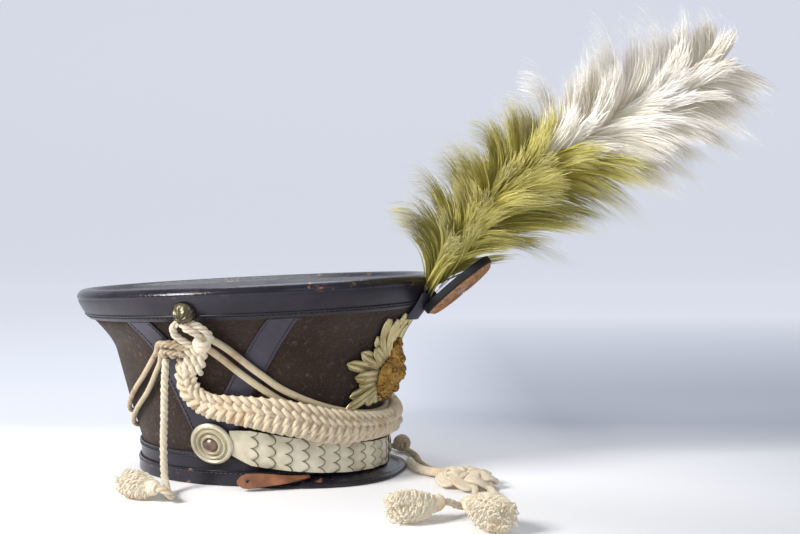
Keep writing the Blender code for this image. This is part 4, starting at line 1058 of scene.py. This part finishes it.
def sew(name, lines, spacing=STITCH_SPACING):
    """Stitches, short beads with round ends, laid end to end along lines."""
    bpy.ops.mesh.primitive_cylinder_add(vertices=6, radius=STITCH / 2, depth=STITCH_LENGTH)
    bead = bpy.context.object
    apply_modifier(bead, "BEVEL", width=STITCH_EDGE, segments=1, limit_method="ANGLE")
    shape = [v.co.copy() for v in bead.data.vertices]
    faces = [tuple(f.vertices) for f in bead.data.polygons]
    points, built = [], []
    for line in lines:
        places = even_steps(line, spacing)
        for a, b in zip(places, places[1:]):
            turn = (b - a).to_track_quat("Z", "Y")
            first = len(points)
            points += [tuple(a.lerp(b, 0.5) + turn @ p) for p in shape]
            built += [tuple(first + i for i in face) for face in faces]
    bpy.data.objects.remove(bead)
    mesh = bpy.data.meshes.new(name)
    mesh.from_pydata(points, [], built)
    return finish_piece(placed_object(name, mesh), name, "thread")


def wall_ring(height, out):
    return [wall_point(turn, height, out) for turn in range(0, 361, 3)]


def build_seams():
    low = WALL_HEIGHT - TOP_BAND_DEPTH
    out = LAY_GAP + BAND + 0.0001
    welts = Strands()
    for height, girth in ((low + WELT_IN, 0.0009), (BASE_BAND_DEPTH - BASE_WELT_IN, 0.0007)):
        welts.along(wall_ring(height, out), girth)
    finish_piece(welts.build(), "seam_welts", "patent", angle=60)
    sew("top_band_stitches", [wall_ring(low + STITCH_IN, out)])
    sew("base_band_stitches", [wall_ring(BASE_BAND_DEPTH - BASE_STITCH_IN, out)])
    binding_face = LAY_GAP * 2 + BAND + BINDING
    sew("binding_stitches", [wall_ring(BINDING_DEPTH - BINDING_STITCH_IN, binding_face)])


def build_v_straps():
    rise = STRAP_TOP - STRAP_FOOT
    lines = []
    for side, word in BOTH_SIDES:
        arms = []
        for arm_turn in STRAP_TURNS:
            def place(across, along, arm_turn=arm_turn, side=side, out=LAY_GAP):
                height = STRAP_FOOT + along * rise
                half = math.degrees(STRAP_WIDTH / 2 / half_sizes(height)[0])
                centre = 90 + arm_turn * along
                outer = centre + math.copysign(half, arm_turn)
                inner = centre - math.copysign(half, arm_turn)
                if along < STRAP_FORK:
                    inner = between(90 - 4.75 * along, inner, clamp((along - 0.2) / 0.1))
                return wall_point(side * between(outer, inner, across), height, out)

            arm = bent_sheet(place, 6, 40)
            thicken(arm, STRAP, 1, bevel=STRAP_EDGE)
            arms.append(arm)
            for across, first in ((0.10, 0.02), (0.90, 0.34)):
                face = LAY_GAP + STRAP + 0.0002
                steps = [between(first, 0.985, i / 30) for i in range(31)]
                lines.append([place(across, along, out=face) for along in steps])
        arms = joined(arms)
        finish_piece(arms, f"v_strap_{word}", "strap", (f"chevron_{word}",))
    sew("v_strap_stitches", lines, STRAP_STITCH_SPACING)


def build_peak():
    """The visor: a crescent with a rolled edge and a bead inside it."""
    foot_out = LAY_GAP * 2 + BAND + BINDING + 0.0008
    length, width = BASE_LENGTH / 2 + foot_out, BASE_WIDTH / 2 + foot_out

    def edges(turn):
        power = 2 / PEAK_SQUARENESS
        c, s = math.cos(math.radians(turn)), math.sin(math.radians(turn))
        wide = math.copysign(PEAK_HALF_WIDTH * abs(s) ** power, s)
        outer = Vector((PEAK_REACH * abs(c) ** power, wide, 0))
        angle = math.atan2(outer.y / width, outer.x / length)
        return Vector((length * math.cos(angle), width * math.sin(angle), 0)), outer

    def place(along, across):
        inner, outer = edges(PEAK_SWEEP * (2 * along - 1))
        reach = (outer - inner).length / (PEAK_REACH - length)
        rise = PEAK_RISE * min(1.0, reach) * (1 - across) ** 1.5
        groove = PEAK_BEAD * ridge((across - 0.86) / 0.035)
        return MIDDLE + inner.lerp(outer, across) + Vector((0, 0, rise + PEAK_LEATHER + groove))

    visor = bent_sheet(place, 96, 34)
    thicken(visor, PEAK_LEATHER - 0.0002, -1, facing=lambda p: UP, bevel=SOFT_EDGE)
    rim = Strands()
    line = [place(i / 120, 0.988) - UP * (PEAK_LEATHER / 2 - 0.0001) for i in range(121)]
    rim.along(line, PEAK_LEATHER / 2 + 0.0002, 10)
    finish_piece(joined([visor, rim.build()]), "visor", "rim", ("peak",))


# Front plate


def plate_point(across, up, out):
    height = clamp(PLATE_HEIGHT + up, 0, WALL_HEIGHT)
    return wall_point(math.degrees(across / half_sizes(height)[1]), height, out)


def build_rays():
    petals = []
    order = [(s * a, r) for a, r in RAYS for s in ((1,) if a in (0, 180) else (1, -1))]
    for i, (angle, length) in enumerate(order):
        lean = math.radians(angle)
        tier = RAY_METAL * (i % 3)

        def place(across, along):
            reach = between(RAY_FOOT, length, along)
            half = RAY_HALF_WIDTH * (0.42 + 0.58 * math.sin(math.pi * clamp(along * 0.62 + 0.18)))
            half *= (1 - clamp((along - 0.84) / 0.16) ** 2) ** 0.5
            s = 2 * across - 1
            rim = ridge((abs(s) - 0.86) / 0.13) + 1.2 * ridge(s / 0.13)
            cup = RAY_CUP * rim * (0.4 + 0.6 * along) * (1 - clamp((along - 0.9) / 0.1))
            turn_x = reach * math.sin(lean) + s * half * math.cos(lean)
            turn_y = reach * math.cos(lean) - s * half * math.sin(lean)
            return plate_point(-turn_x, turn_y, PLATE_GAP + PLATE_METAL + tier + cup)

        petal = bent_sheet(place, 14, 14)
        thicken(petal, RAY_METAL, -1)
        petals.append(petal)
    finish_piece(joined(petals), "sunburst_plate", "pale_brass", ("ray_plate",), 60)


def on_badge(across, up, out):
    return plate_point(across * BADGE_HALF_WIDTH, BADGE_RAISE + up * BADGE_HALF_HEIGHT, out)


def build_badge():
    """A bulging shield under a plain coronet, with raised scrolls that copy nobody's arms."""
    seat = PLATE_GAP + PLATE_METAL + BADGE_STAND
    edge = [Vector((a, u, 0)) for a, u in BADGE_OUTLINE]
    edge += [Vector((-a, u, 0)) for a, u in reversed(BADGE_OUTLINE[1:-1])]
    loop = curve_line(edge + [edge[0]], 0.05)

    def bulge_at(share):
        return BADGE_BULGE * (1 - share**2.2) ** 0.8

    def place(across, along):
        spot = loop[int(round(across * (len(loop) - 1)))] * along
        scroll = 0.0010 * math.sin(spot.x * 17) * math.sin(spot.y * 13 + abs(spot.x) * 9)
        scroll += 0.0005 * math.sin(spot.x * 41 + spot.y * 23) * math.sin(spot.y * 47)
        beads = 0.0009 * max(0.0, math.sin(across * math.tau * 22)) * ridge((along - 0.88) / 0.05)
        return on_badge(spot.x, spot.y, seat + bulge_at(along) + scroll * (1 - along**6) + beads)

    shield = bent_sheet(place, len(loop) * 2, 26)
    merge_doubles(shield, 0.00002)
    thicken(shield, BADGE_METAL, -1)
    parts = [shield]
    for across, up, size in BADGE_KNOBS:
        bpy.ops.mesh.primitive_ico_sphere_add(subdivisions=3, radius=size)
        knob = bpy.context.object
        lift = seat + bulge_at(min(1, math.hypot(across, up))) - size * 0.35
        knob.location = on_badge(across, up, max(lift, seat + size * 0.3))
        for vertex in knob.data.vertices:
            vertex.co *= 1 + 0.10 * math.sin(math.atan2(vertex.co.y, vertex.co.z) * 7)
        parts.append(knob)
    finish_piece(joined(parts), "plate_relief", "gilt", ("plate_badge",), 60)


# Plume socket, cockade and plume


def build_socket():
    seat = LAY_GAP + BAND + GAP * 2

    def place(across, along):
        height = between(SOCKET_LOW, SOCKET_HIGH, along)
        s = 2 * across - 1
        half = math.degrees(SOCKET_WIDTH / 2 / half_sizes(height)[1])
        return wall_point(s * half, height, seat + SOCKET_ARCH * (1 - abs(s) ** 2.5))

    tab = bent_sheet(place, 24, 14)
    thicken(tab, SOCKET_LEATHER, 1, bevel=SOFT_EDGE)
    finish_piece(tab, "plume_loop", "strap", ("plume_socket",))
    lines = [[place(across, i / 10) for i in range(11)] for across in (0.07, 0.93)]
    stand = SOCKET_LEATHER + 0.0004
    lines = [[p + outward(p).normalized() * stand for p in line] for line in lines]
    sew("plume_loop_stitches", lines, SOCKET_STITCH_SPACING)


def plume_axis(share):
    place = wall_point(0, WALL_HEIGHT, LAY_GAP + BAND) + Vector((STEM_AHEAD, 0, 0))
    heading, steps = Vector((1, 0, 0)), 60
    for i in range(steps):
        ease = min(1.0, (i + 0.5) / steps * share / PLUME_BEND)
        ease = ease * ease * (3 - 2 * ease)
        rise = math.radians(between(PLUME_STEEP, PLUME_FLAT, ease))
        heading = Vector((math.cos(rise), 0, math.sin(rise)))
        place = place + heading * (PLUME_LENGTH * share / steps)
    return place, heading


AXIS_TABLE = [plume_axis(i / 200) for i in range(201)]


def axis_at(share):
    at = clamp(share) * 200
    index = min(199, int(at))
    place = AXIS_TABLE[index][0].lerp(AXIS_TABLE[index + 1][0], at - index)
    return place, AXIS_TABLE[index][1]


def in_cockade(place):
    """Whether a point would be in or before the cockade, where no barb may go."""
    middle, along, face = cockade_frame()
    off = place - middle
    room = 0.004
    near = abs(off.dot(along)) < COCKADE_LENGTH / 2 + room and abs(off.y) < COCKADE_WIDTH / 2 + room
    return near and off.dot(face) > -COCKADE_BACK - room / 2


def feather(strands, rng, root, turn, high, barbs, tone):
    """A lock of barbs that leaves the stem together, bends as one and fans out at its tip."""
    place, heading = axis_at(root)
    up = Vector((-heading.z, 0, heading.x))
    radial = up * math.cos(turn) + Vector((0, 1, 0)) * math.sin(turn)
    wide = math.hypot(PLUME_WIDTH / 2 * math.cos(turn), PLUME_DEPTH / 2 * math.sin(turn))
    upper = clamp(math.cos(turn) * 0.8 + 0.5)
    level = abs(math.sin(turn))
    length = wide * max(0.60, read_table(PLUME_OUTLINE, clamp(root + 0.18)))
    length = length * rng.uniform(*BARB_LENGTHS)
    length *= between(1.0, between(0.88, 1.06, clamp((root - 0.3) / 0.2)), upper)
    low_flare = 30 * clamp(1 - root / 0.14) * rng.random()
    start_angle = rng.uniform(6, 24) + low_flare + 14 * (1 - upper)
    end_angle = between(rng.uniform(66, 98), rng.uniform(92, 140), upper)
    end_angle = end_angle * (1 - 0.42 * level)
    fan = radial.cross(heading).normalized()
    sideways, twist = rng.gauss(0, 0.22), rng.gauss(0, 0.35)
    for _ in range(barbs):
        part = rng.gauss(0, 1)
        size = length * rng.uniform(0.70, 1.0)
        first = math.radians(start_angle + part * 2.4)
        last = math.radians(end_angle + part * 4.2 + rng.gauss(0, 2.6))
        spread = sideways + rng.gauss(0, 0.055)
        spot = place + heading * (0.006 * part) + radial * rng.uniform(0, 0.005)
        line = [spot + fan * rng.gauss(0, 0.0022)]
        for i in range(BARB_STEPS):
            t = (i + 0.5) / BARB_STEPS
            angle = between(first, last, t**1.35)
            step = heading * math.cos(angle) + radial * math.sin(angle)
            step = (step + fan * (spread * (0.3 + 1.1 * t) + twist * t * t * 0.5)).normalized()
            step.z -= BARB_DROOP * t * t
            line.append(line[-1] + step * (size / BARB_STEPS))
        if any(p.x > high.x or p.z > high.z or abs(p.y) > high.y or in_cockade(p) for p in line):
            continue
        side = (fan + radial * rng.gauss(0, 0.6)).normalized()
        shade = 0.0 if rng.random() < 0.10 else clamp(tone + rng.gauss(0, 0.12))
        strands.ribbon(line, side, rng.uniform(*BARB_WIDTHS), shade)


def build_plume(word, start, end, locks, barbs, colour, seed):
    """A part of the plume between two shares of its length."""
    rng = random.Random(seed)
    strands = Strands()
    high = Vector(cad_box[1]) + Vector((PLUME_ROOM, 0, PLUME_ROOM))
    high.y = PLUME_DEPTH / 2 + PLUME_SIDE_ROOM
    for i in range(locks):
        turn = math.radians(i * GOLDEN_TURN + rng.uniform(-20, 20))
        lean = 0.075 * math.cos(turn)
        first = start - (lean if start else 0)
        last = end - (lean if not start else 0)
        root = between(first, last, (i + rng.random()) / locks)
        feather(strands, rng, root, turn, high, barbs, rng.uniform(0.05, 1.0))
    core = [axis_at(between(max(start, 0.01), end, i / 30))[0] for i in range(31)]
    strands.along(core, lambda s: PLUME_CORE, tone=0.2)
    plume, nodes = strands.build(), (f"plume_{colour}",)
    finish_piece(plume, f"plume_{word}", colour, nodes, 180)


def cockade_frame():
    lean = math.radians(COCKADE_LEAN)
    along = Vector((math.cos(lean), 0, math.sin(lean)))
    face = Vector((math.sin(lean), 0, -math.cos(lean)))
    middle = wall_point(0, WALL_HEIGHT) + Vector((COCKADE_AHEAD, 0, -COCKADE_DROP))
    return middle, along, face


def build_cockade():
    """A thick cloth oval with a ribbed silk face."""
    middle, along, face = cockade_frame()
    placed = Matrix((along, face.cross(along), face)).transposed().to_4x4()
    placed.translation = middle
    bpy.ops.mesh.primitive_cylinder_add(vertices=96, radius=0.5, depth=1)
    pad = bpy.context.object
    stretch = Matrix.Diagonal((COCKADE_LENGTH, COCKADE_WIDTH, COCKADE_BACK, 1))
    pad.data.transform(Matrix.Translation((0, 0, -COCKADE_BACK / 2)) @ stretch)
    apply_modifier(pad, "BEVEL", width=0.0016, segments=4, limit_method="ANGLE")
    bpy.ops.mesh.primitive_cylinder_add(vertices=14, radius=0.003, depth=0.012)
    shank = bpy.context.object
    shank.data.transform(Matrix.Translation((-0.021, 0, -COCKADE_BACK - 0.004)))
    pad = joined([pad, shank])
    pad.data.transform(placed)
    finish_piece(pad, "cockade_pad", "cloth", ("cockade_back",))

    def place(across, share):
        ring = math.tau * across
        wave = 0.5 + 0.5 * math.cos(ring * COCKADE_RIBS)
        reach = between(0.18, 0.95, share)
        fall = 1 - clamp((share - 0.86) / 0.14) ** 2
        lift = GAP + COCKADE_FACE * (0.45 + 0.35 * math.sin(math.pi * share)) * fall
        long = reach * COCKADE_LENGTH / 2 * math.cos(ring)
        wide = reach * COCKADE_WIDTH / 2 * math.sin(ring)
        return placed @ Vector((long, wide, lift + 0.0011 * wave * fall))

    ribbed = bent_sheet(place, COCKADE_RIBS * 4, 12)
    merge_doubles(ribbed, 0.00001)
    thicken(ribbed, 0.0006, -1, facing=lambda p: face)
    bpy.ops.mesh.primitive_uv_sphere_add(segments=32, ring_count=16, radius=1)
    knob = bpy.context.object
    seat = Matrix.Translation((0, 0, COCKADE_FACE * 0.55))
    knob.data.transform(placed @ seat @ Matrix.Diagonal((0.0075, 0.0055, 0.0016, 1)))
    ribbed = joined([ribbed, knob])
    finish_piece(ribbed, "cockade_ribs", "silk", ("cockade_face",), 60)


def build_stem():
    out = LAY_GAP + BAND + GAP * 2 + STEM_DIAMETER / 2
    foot, heading = plume_axis(0)
    route = [wall_point(0, h, out) for h in (SOCKET_LOW + 0.001, 0.135, SOCKET_HIGH - 0.001)]
    route += [foot - heading * 0.004, foot + heading * 0.002]
    line = curve_line(route, 0.001)
    strands = Strands()
    strands.along(line, STEM_DIAMETER / 2, 12)
    strands.wound(line[-9], line[-1], 0.0019, 0.0005, 7)
    finish_piece(strands.build(), "plume_wire", "wire", ("plume_stem",), 60)


# Chin scales


def build_bosses():
    seat = LAY_GAP + STRAP + GAP
    for side, word in BOTH_SIDES:
        placed = wall_frame(90 * side, BOSS_AT, seat)
        boss = spun(BOSS_PROFILE, BOSS_DIAMETER / 2, BOSS_HEIGHT, placed, 64)
        finish_piece(boss, f"ringed_boss_{word}", "ivory", (f"chin_boss_{word}",))
        top = placed @ Matrix.Translation((0, 0, BOSS_HEIGHT * 0.44 + GAP))
        rivet = spun(RIVET_PROFILE, RIVET_DIAMETER / 2, RIVET_HEIGHT, top)
        finish_piece(rivet, f"boss_rivet_{word}", "rivet", (f"chin_rivet_{word}",))


def scale_frame(share):
    start = math.degrees((BOSS_DIAMETER / 2 + GAP) / half_sizes(BOSS_AT)[0]) + 1.2
    turn = between(90 - start, 0, share)
    height = between(BOSS_AT - 0.002, SCALE_FRONT_AT, share * (2 - share))
    out = between(LAY_GAP + BAND + GAP * 3, SCALE_STAND_OFF, clamp(share * 1.3) ** 0.8)
    taper = between(0.70, 1.0, clamp((share + 0.05) / 0.12))
    half = between(SCALE_HEIGHT_BOSS, SCALE_HEIGHT_FRONT, clamp(share * 1.2)) / 2 * taper
    return turn, height, out, half


def scale_point(share, side, up, out):
    turn, height, stand, half = scale_frame(share)
    low = BASE_BAND_DEPTH * 0.5
    place = wall_point(side * turn, low, stand + out)
    lean = (half_sizes(height + half)[0] - half_sizes(low)[0]) * max(0, 1 - 2.2 * share)
    aside = Vector((place.x - MIDDLE.x, place.y, 0)).normalized()
    return Vector((place.x, place.y, height + up * half)) + aside * lean * (up + 1) / 2


def build_scales():
    """Overlapping plates, each with three round lobes on its front edge and a domed middle."""
    seat = LINING + LAY_GAP * 1.6
    lobe = PLATE_LOBE / ((BASE_LENGTH + BASE_WIDTH) / 4 * math.pi / 2)
    for side, word in BOTH_SIDES:
        made, edges = [], Strands()
        for i in range(PLATES):
            first, last = i / PLATES, (i + 1) / PLATES

            def place(across, along, first=first, last=last, side=side, i=i):
                v = 2 * across - 1
                wave = math.cos(v * math.pi * 1.5) if i % 2 else math.sin(v * math.pi * 1.5)
                front = last + lobe * (abs(wave) ** 0.6 - 0.55)
                if i == PLATES - 1:
                    front = SCALE_END
                back = max(-0.05, first - 0.45 / PLATES)
                share = between(back, min(SCALE_END, front), along)
                dome = 0.0006 * (1 - v * v) + 0.0008 * abs(wave) * along
                lift = 0.0004 + 0.0018 * along + dome
                lift -= 0.0008 * clamp((along - 0.88) / 0.12) ** 2
                return scale_point(share, side, v, seat + lift)

            plate = bent_sheet(place, 36, 12)
            thicken(plate, PLATE_THICKNESS, -1)
            made.append(plate)
            # Painted shadow: a thin dark tube along each plate's front edge stands in for the shade
            # under its lobes.
            rim = [place(j / 36, 1.0) for j in range(37)]
            edges.along(rim, 0.00042, 5)
        nodes = (f"chin_scales_{word}",)
        finish_piece(joined(made), f"chin_plates_{word}", "ivory", nodes, 50)
        finish_piece(edges.build(), f"chin_plate_shade_lines_{word}", "scale_shade_line")

        def backing(along, across, side=side):
            return scale_point(along * SCALE_END, side, (2 * across - 1) * 0.97, 0.0)

        strap = bent_sheet(backing, 40, 4)
        thicken(strap, LINING, 1, bevel=SOFT_EDGE)
        finish_piece(strap, f"chin_strap_{word}", "lining", (f"chin_lining_{word}",))


def build_tie():
    """The tan tongue, which turns on its edge towards its point."""
    line = [MIDDLE + Vector(p) for p in TIE_ROUTE]
    heading = (line[-1] - line[0]).normalized()
    fine = curve_line(line, 0.001)

    def place(across, along):
        flat = heading.cross(UP).normalized()
        wide = Matrix.Rotation(-math.radians(read_table(TIE_LEANS, along)), 3, heading) @ flat
        spot = fine[round(along * (len(fine) - 1))]
        return spot + wide * ((across - 0.5) * read_table(TIE_WIDTHS, along))

    tongue = bent_sheet(place, 10, len(fine) - 1)
    eye = line[-1].lerp(line[-2], 0.75)
    only(tongue)
    bpy.ops.object.mode_set(mode="EDIT")
    bm = bmesh.from_edit_mesh(tongue.data)
    hole = [f for f in bm.faces if (f.calc_center_median() - eye).length < 0.0014]
    bmesh.ops.delete(bm, geom=hole, context="FACES")
    bmesh.update_edit_mesh(tongue.data)
    bpy.ops.object.mode_set(mode="OBJECT")
    thicken(tongue, 0.0019, 0, facing=lambda p: Vector((0.2, -1, 0.4)), bevel=SOFT_EDGE)
    finish_piece(tongue, "tie_tongue", "tan", ("chin_tie",))


# Cap lines on the hat


def build_buttons():
    for side, word in BOTH_SIDES:
        placed = wall_frame(90 * side, BUTTON_AT, LAY_GAP + BAND + GAP * 2)
        button = spun(BUTTON_PROFILE, BUTTON_DIAMETER / 2, BUTTON_HEIGHT, placed, 64)
        centre = placed.translation
        for vertex in button.data.vertices:
            local = placed.inverted() @ vertex.co
            ring = math.atan2(local.y, local.x)
            crown = math.hypot(local.x, local.y) / (BUTTON_DIAMETER / 2)
            lift = 0.0007 * math.sin(ring * 8) * math.sin(math.pi * clamp(crown))
            vertex.co += (vertex.co - centre).normalized() * lift
        nodes = (f"button_{word}",)
        finish_piece(button, f"line_button_{word}", "dark_gilt", nodes, 60)


def wall_frames(line):
    """Like line_frames, but with the second direction pointing off the wall."""
    frames = []
    for i, place in enumerate(line):
        ahead = (line[min(i + 1, len(line) - 1)] - line[max(i - 1, 0)]).normalized()
        off = Vector(((place.x - MIDDLE.x) / BASE_LENGTH**2, place.y / BASE_WIDTH**2, 0))
        across = ahead.cross(off.normalized()).normalized()
        frames.append((place, across, across.cross(ahead).normalized()))
    return frames


def build_plait():
    """A flat braid: fat twisted ends slant in from both edges and dive under the middle."""
    frames = wall_frames(wall_route(PLAIT_ROUTE, PLAIT_STEP))
    last = len(frames) - 1
    half = [(i / 9 / 2, share) for i, share in enumerate(PLAIT_SHARE)]
    shares = half + [(1 - at, share) for at, share in reversed(half[:-1])]
    strands = Strands()

    def half_height(share):
        return read_table(shares, share) * PLAIT_HEIGHT / 2

    strands.tube(frames[::12], lambda s: half_height(s) * 0.84, 16, 0.5, 0.22)

    def on_plait(along, across, lift):
        at = clamp(along / PLAIT_STEP, 0, last)
        place, edge, off = frames[int(at)]
        wide = half_height(at / last) - PLAIT_ROPE * 0.42
        return place + edge * (wide * across) + off * lift

    length = last * PLAIT_STEP
    for lobe in range(int(length / PLAIT_PITCH) + 1):
        for edge, late, slant in ((-1, 0.0, 0.0095), (1, 0.5, 0.0170)):
            begin = (lobe + late) * PLAIT_PITCH
            heading = 1 if begin < length / 2 else -1
            places = []
            for j in range(15):
                t = j / 14
                along = begin + heading * slant * (t - 0.4)
                across = edge * (1.04 - 1.30 * t)
                lift = -0.0042 + 0.0068 * math.sin(math.pi * clamp(t * 0.86 + 0.10)) ** 0.7
                places.append(on_plait(along, across, lift))
            strands.twisted(places, PLAIT_ROPE, 2, 2.1)
    finish_piece(strands.build(), "braided_plait", "plait", ("plait",), 60)


def build_wall_cords():
    for name, route, diameter, look in (
        ("festoon_upper", FESTOON_UPPER_ROUTE, FESTOON, "rope"),
        ("festoon_lower", FESTOON_LOWER_ROUTE, FESTOON, "rope"),
        ("back_cord_upper", BACK_UPPER_ROUTE, BACK_CORD, "stained"),
        ("back_cord_lower", BACK_LOWER_ROUTE, BACK_CORD, "rope"),
    ):
        strands = Strands()
        strands.along(wall_route(route, diameter * 0.5), diameter / 2, 14)
        finish_piece(strands.build(), name + "_line", look, (name,), 60)


def build_knots():
    """Under each button: three loops of cord, a pale round knot, and a stained wrapping beside it."""
    for side, word in BOTH_SIDES:
        def at(spot, side=side):
            turn, height, out = spot
            return wall_point(side * turn, height, out)

        def line(spots):
            return curve_line([at(spot) for spot in spots], KNOT_LINE_STEP)

        loops = Strands()
        for route in LOOP_ROUTES:
            loops.twisted(line(route), LOOP_CORD, 3, 2.6)
        loops.wound(
            at(KNOT_ENDS[0]), at(KNOT_ENDS[1]),
            lambda s: 0.0022 + 0.0026 * math.sin(math.pi * s), 0.0024, 3.5, 9,
        )
        for turn in (86.6, 89.0, 91.4):
            route = [(turn + ahead, height, out) for ahead, height, out in BRAID_END_ROUTE]
            loops.twisted(line(route), BRAID_END_CORD, 2, 2.0)
        knot = loops.build()
        finish_piece(knot, f"button_loops_{word}", "white_cord", (f"knot_{word}",), 60)
        wraps = Strands()
        wraps.wound(
            at(WRAP_ENDS[0]), at(WRAP_ENDS[1]),
            lambda s: 0.0046 + 0.0010 * math.sin(math.pi * s), 0.0021, 3.2, 9,
        )
        for height in (0.1160, 0.1100):
            route = [(turn, height + rise, out) for turn, rise, out in WRAP_CORD_ROUTE]
            wraps.twisted(line(route), WRAP_CORD, 3, 2.4)
        wrap = wraps.build()
        finish_piece(wrap, f"stained_wrap_{word}", "stained", (f"wrap_{word}",), 60)


build_crown()
build_top()
build_seams()
build_v_straps()
build_peak()
build_rays()
build_badge()
build_socket()
build_stem()
build_cockade()
build_bosses()
build_scales()
build_tie()
build_buttons()
build_plait()
build_wall_cords()
build_knots()
build_plume("lower", 0.0, PLUME_SPLIT - 0.07, 112, 104, "green", 21)
build_plume("upper", PLUME_SPLIT - 0.09, 0.87, 122, 97, "white", 33)


# Surface, backdrop and light


def stage_look():
    """Near white round the hat, with painted shade darkening it towards the right; behind it the same
    pale blue grey up to the top, with a painted shadow band to the right of the hat.
    """
    look = Look("pale_surface_painted_shade", roughness=0.75)
    depth = look.node("ShaderNodeSeparateXYZ")
    look.link(look.placed(turn=(0, 0, -CAMERA_TURN)), depth.inputs["Vector"])
    far = look.band(depth.outputs["Y"], 0.09, 0.26)
    # Painted shadow: a soft dark band on the backdrop to the right of the hat, nearest its foot.
    right, low = look.band(depth.outputs["X"], -0.08, 0.16), look.band(depth.outputs["Y"], 1.7, 0.5)
    shade = look.times(right, low)
    # Painted shade: the near floor grows darker towards the right.
    aside = look.band(depth.outputs["X"], 0.0, 0.40)
    near = look.mix(aside, (0.90, 0.90, 0.92), (0.62, 0.63, 0.66))
    look.colour(look.mix(far, near, (0.22, 0.235, 0.27)))
    # The backdrop's emission, darkened by the painted shadow band.
    painted_glow = look.mix(shade, (0.54, 0.56, 0.62), (0.15, 0.165, 0.20))
    look.link(look.mix(far, (0.0, 0.0, 0.0), painted_glow), look.shader.inputs["Emission Color"])
    return look.set(Emission_Strength=1.0).made


def build_stage(reach=3.2, rise=2.6, bend=0.8):
    """The surface, swept up behind the hat in one piece."""
    bpy.ops.mesh.primitive_grid_add(x_subdivisions=2, y_subdivisions=60, size=2)
    sweep = bpy.context.object
    flat = 2 * reach
    arc = bend * math.pi / 2
    total = flat + arc + rise
    for vertex in sweep.data.vertices:
        run = (vertex.co.y + 1) / 2 * total
        deep, high = run - reach, 0.0
        if run > flat:
            angle = min(run - flat, arc) / bend
            deep = reach + bend * math.sin(angle)
            high = bend * (1 - math.cos(angle)) + max(0.0, run - flat - arc)
        vertex.co = Vector((vertex.co.x * 7, deep, high - 0.0002))
    sweep.data.transform(Matrix.Rotation(CAMERA_TURN, 4, "Z"))
    sweep.name = "surface"
    only(sweep)
    bpy.ops.object.shade_smooth()
    sweep.data.materials.append(stage_look())


build_stage()


def add_light(name, place, aim, energy, size, colour):
    """A round area lamp at a place, turned to its aim."""
    data = bpy.data.lights.new(name, "AREA")
    data.energy, data.color = energy, colour
    data.shape, data.size = "DISK", size
    lamp = placed_object(name, data)
    lamp.location = place
    lamp.rotation_euler = (Vector(aim) - Vector(place)).to_track_quat("-Z", "Y").to_euler()


add_light("key", (-0.80, -1.00, 0.85), (0, 0, 0.1), 27, 0.50, (1.0, 0.975, 0.94))
add_light("fill", (1.3, -1.1, 0.9), (0, 0, 0.1), 4, 1.2, (0.90, 0.95, 1.0))
add_light("top", (-0.3, 0.7, 1.5), (0, 0, 0.15), 10, 1.0, (0.95, 0.97, 1.0))

world = bpy.data.worlds.new("room")
bpy.context.scene.world = world
world.use_nodes = True
sky = world.node_tree.nodes["Background"]
sky.inputs["Color"].default_value = (0.66, 0.69, 0.76, 1)
sky.inputs["Strength"].default_value = 0.55
bpy.context.scene.view_settings.view_transform = "Standard"
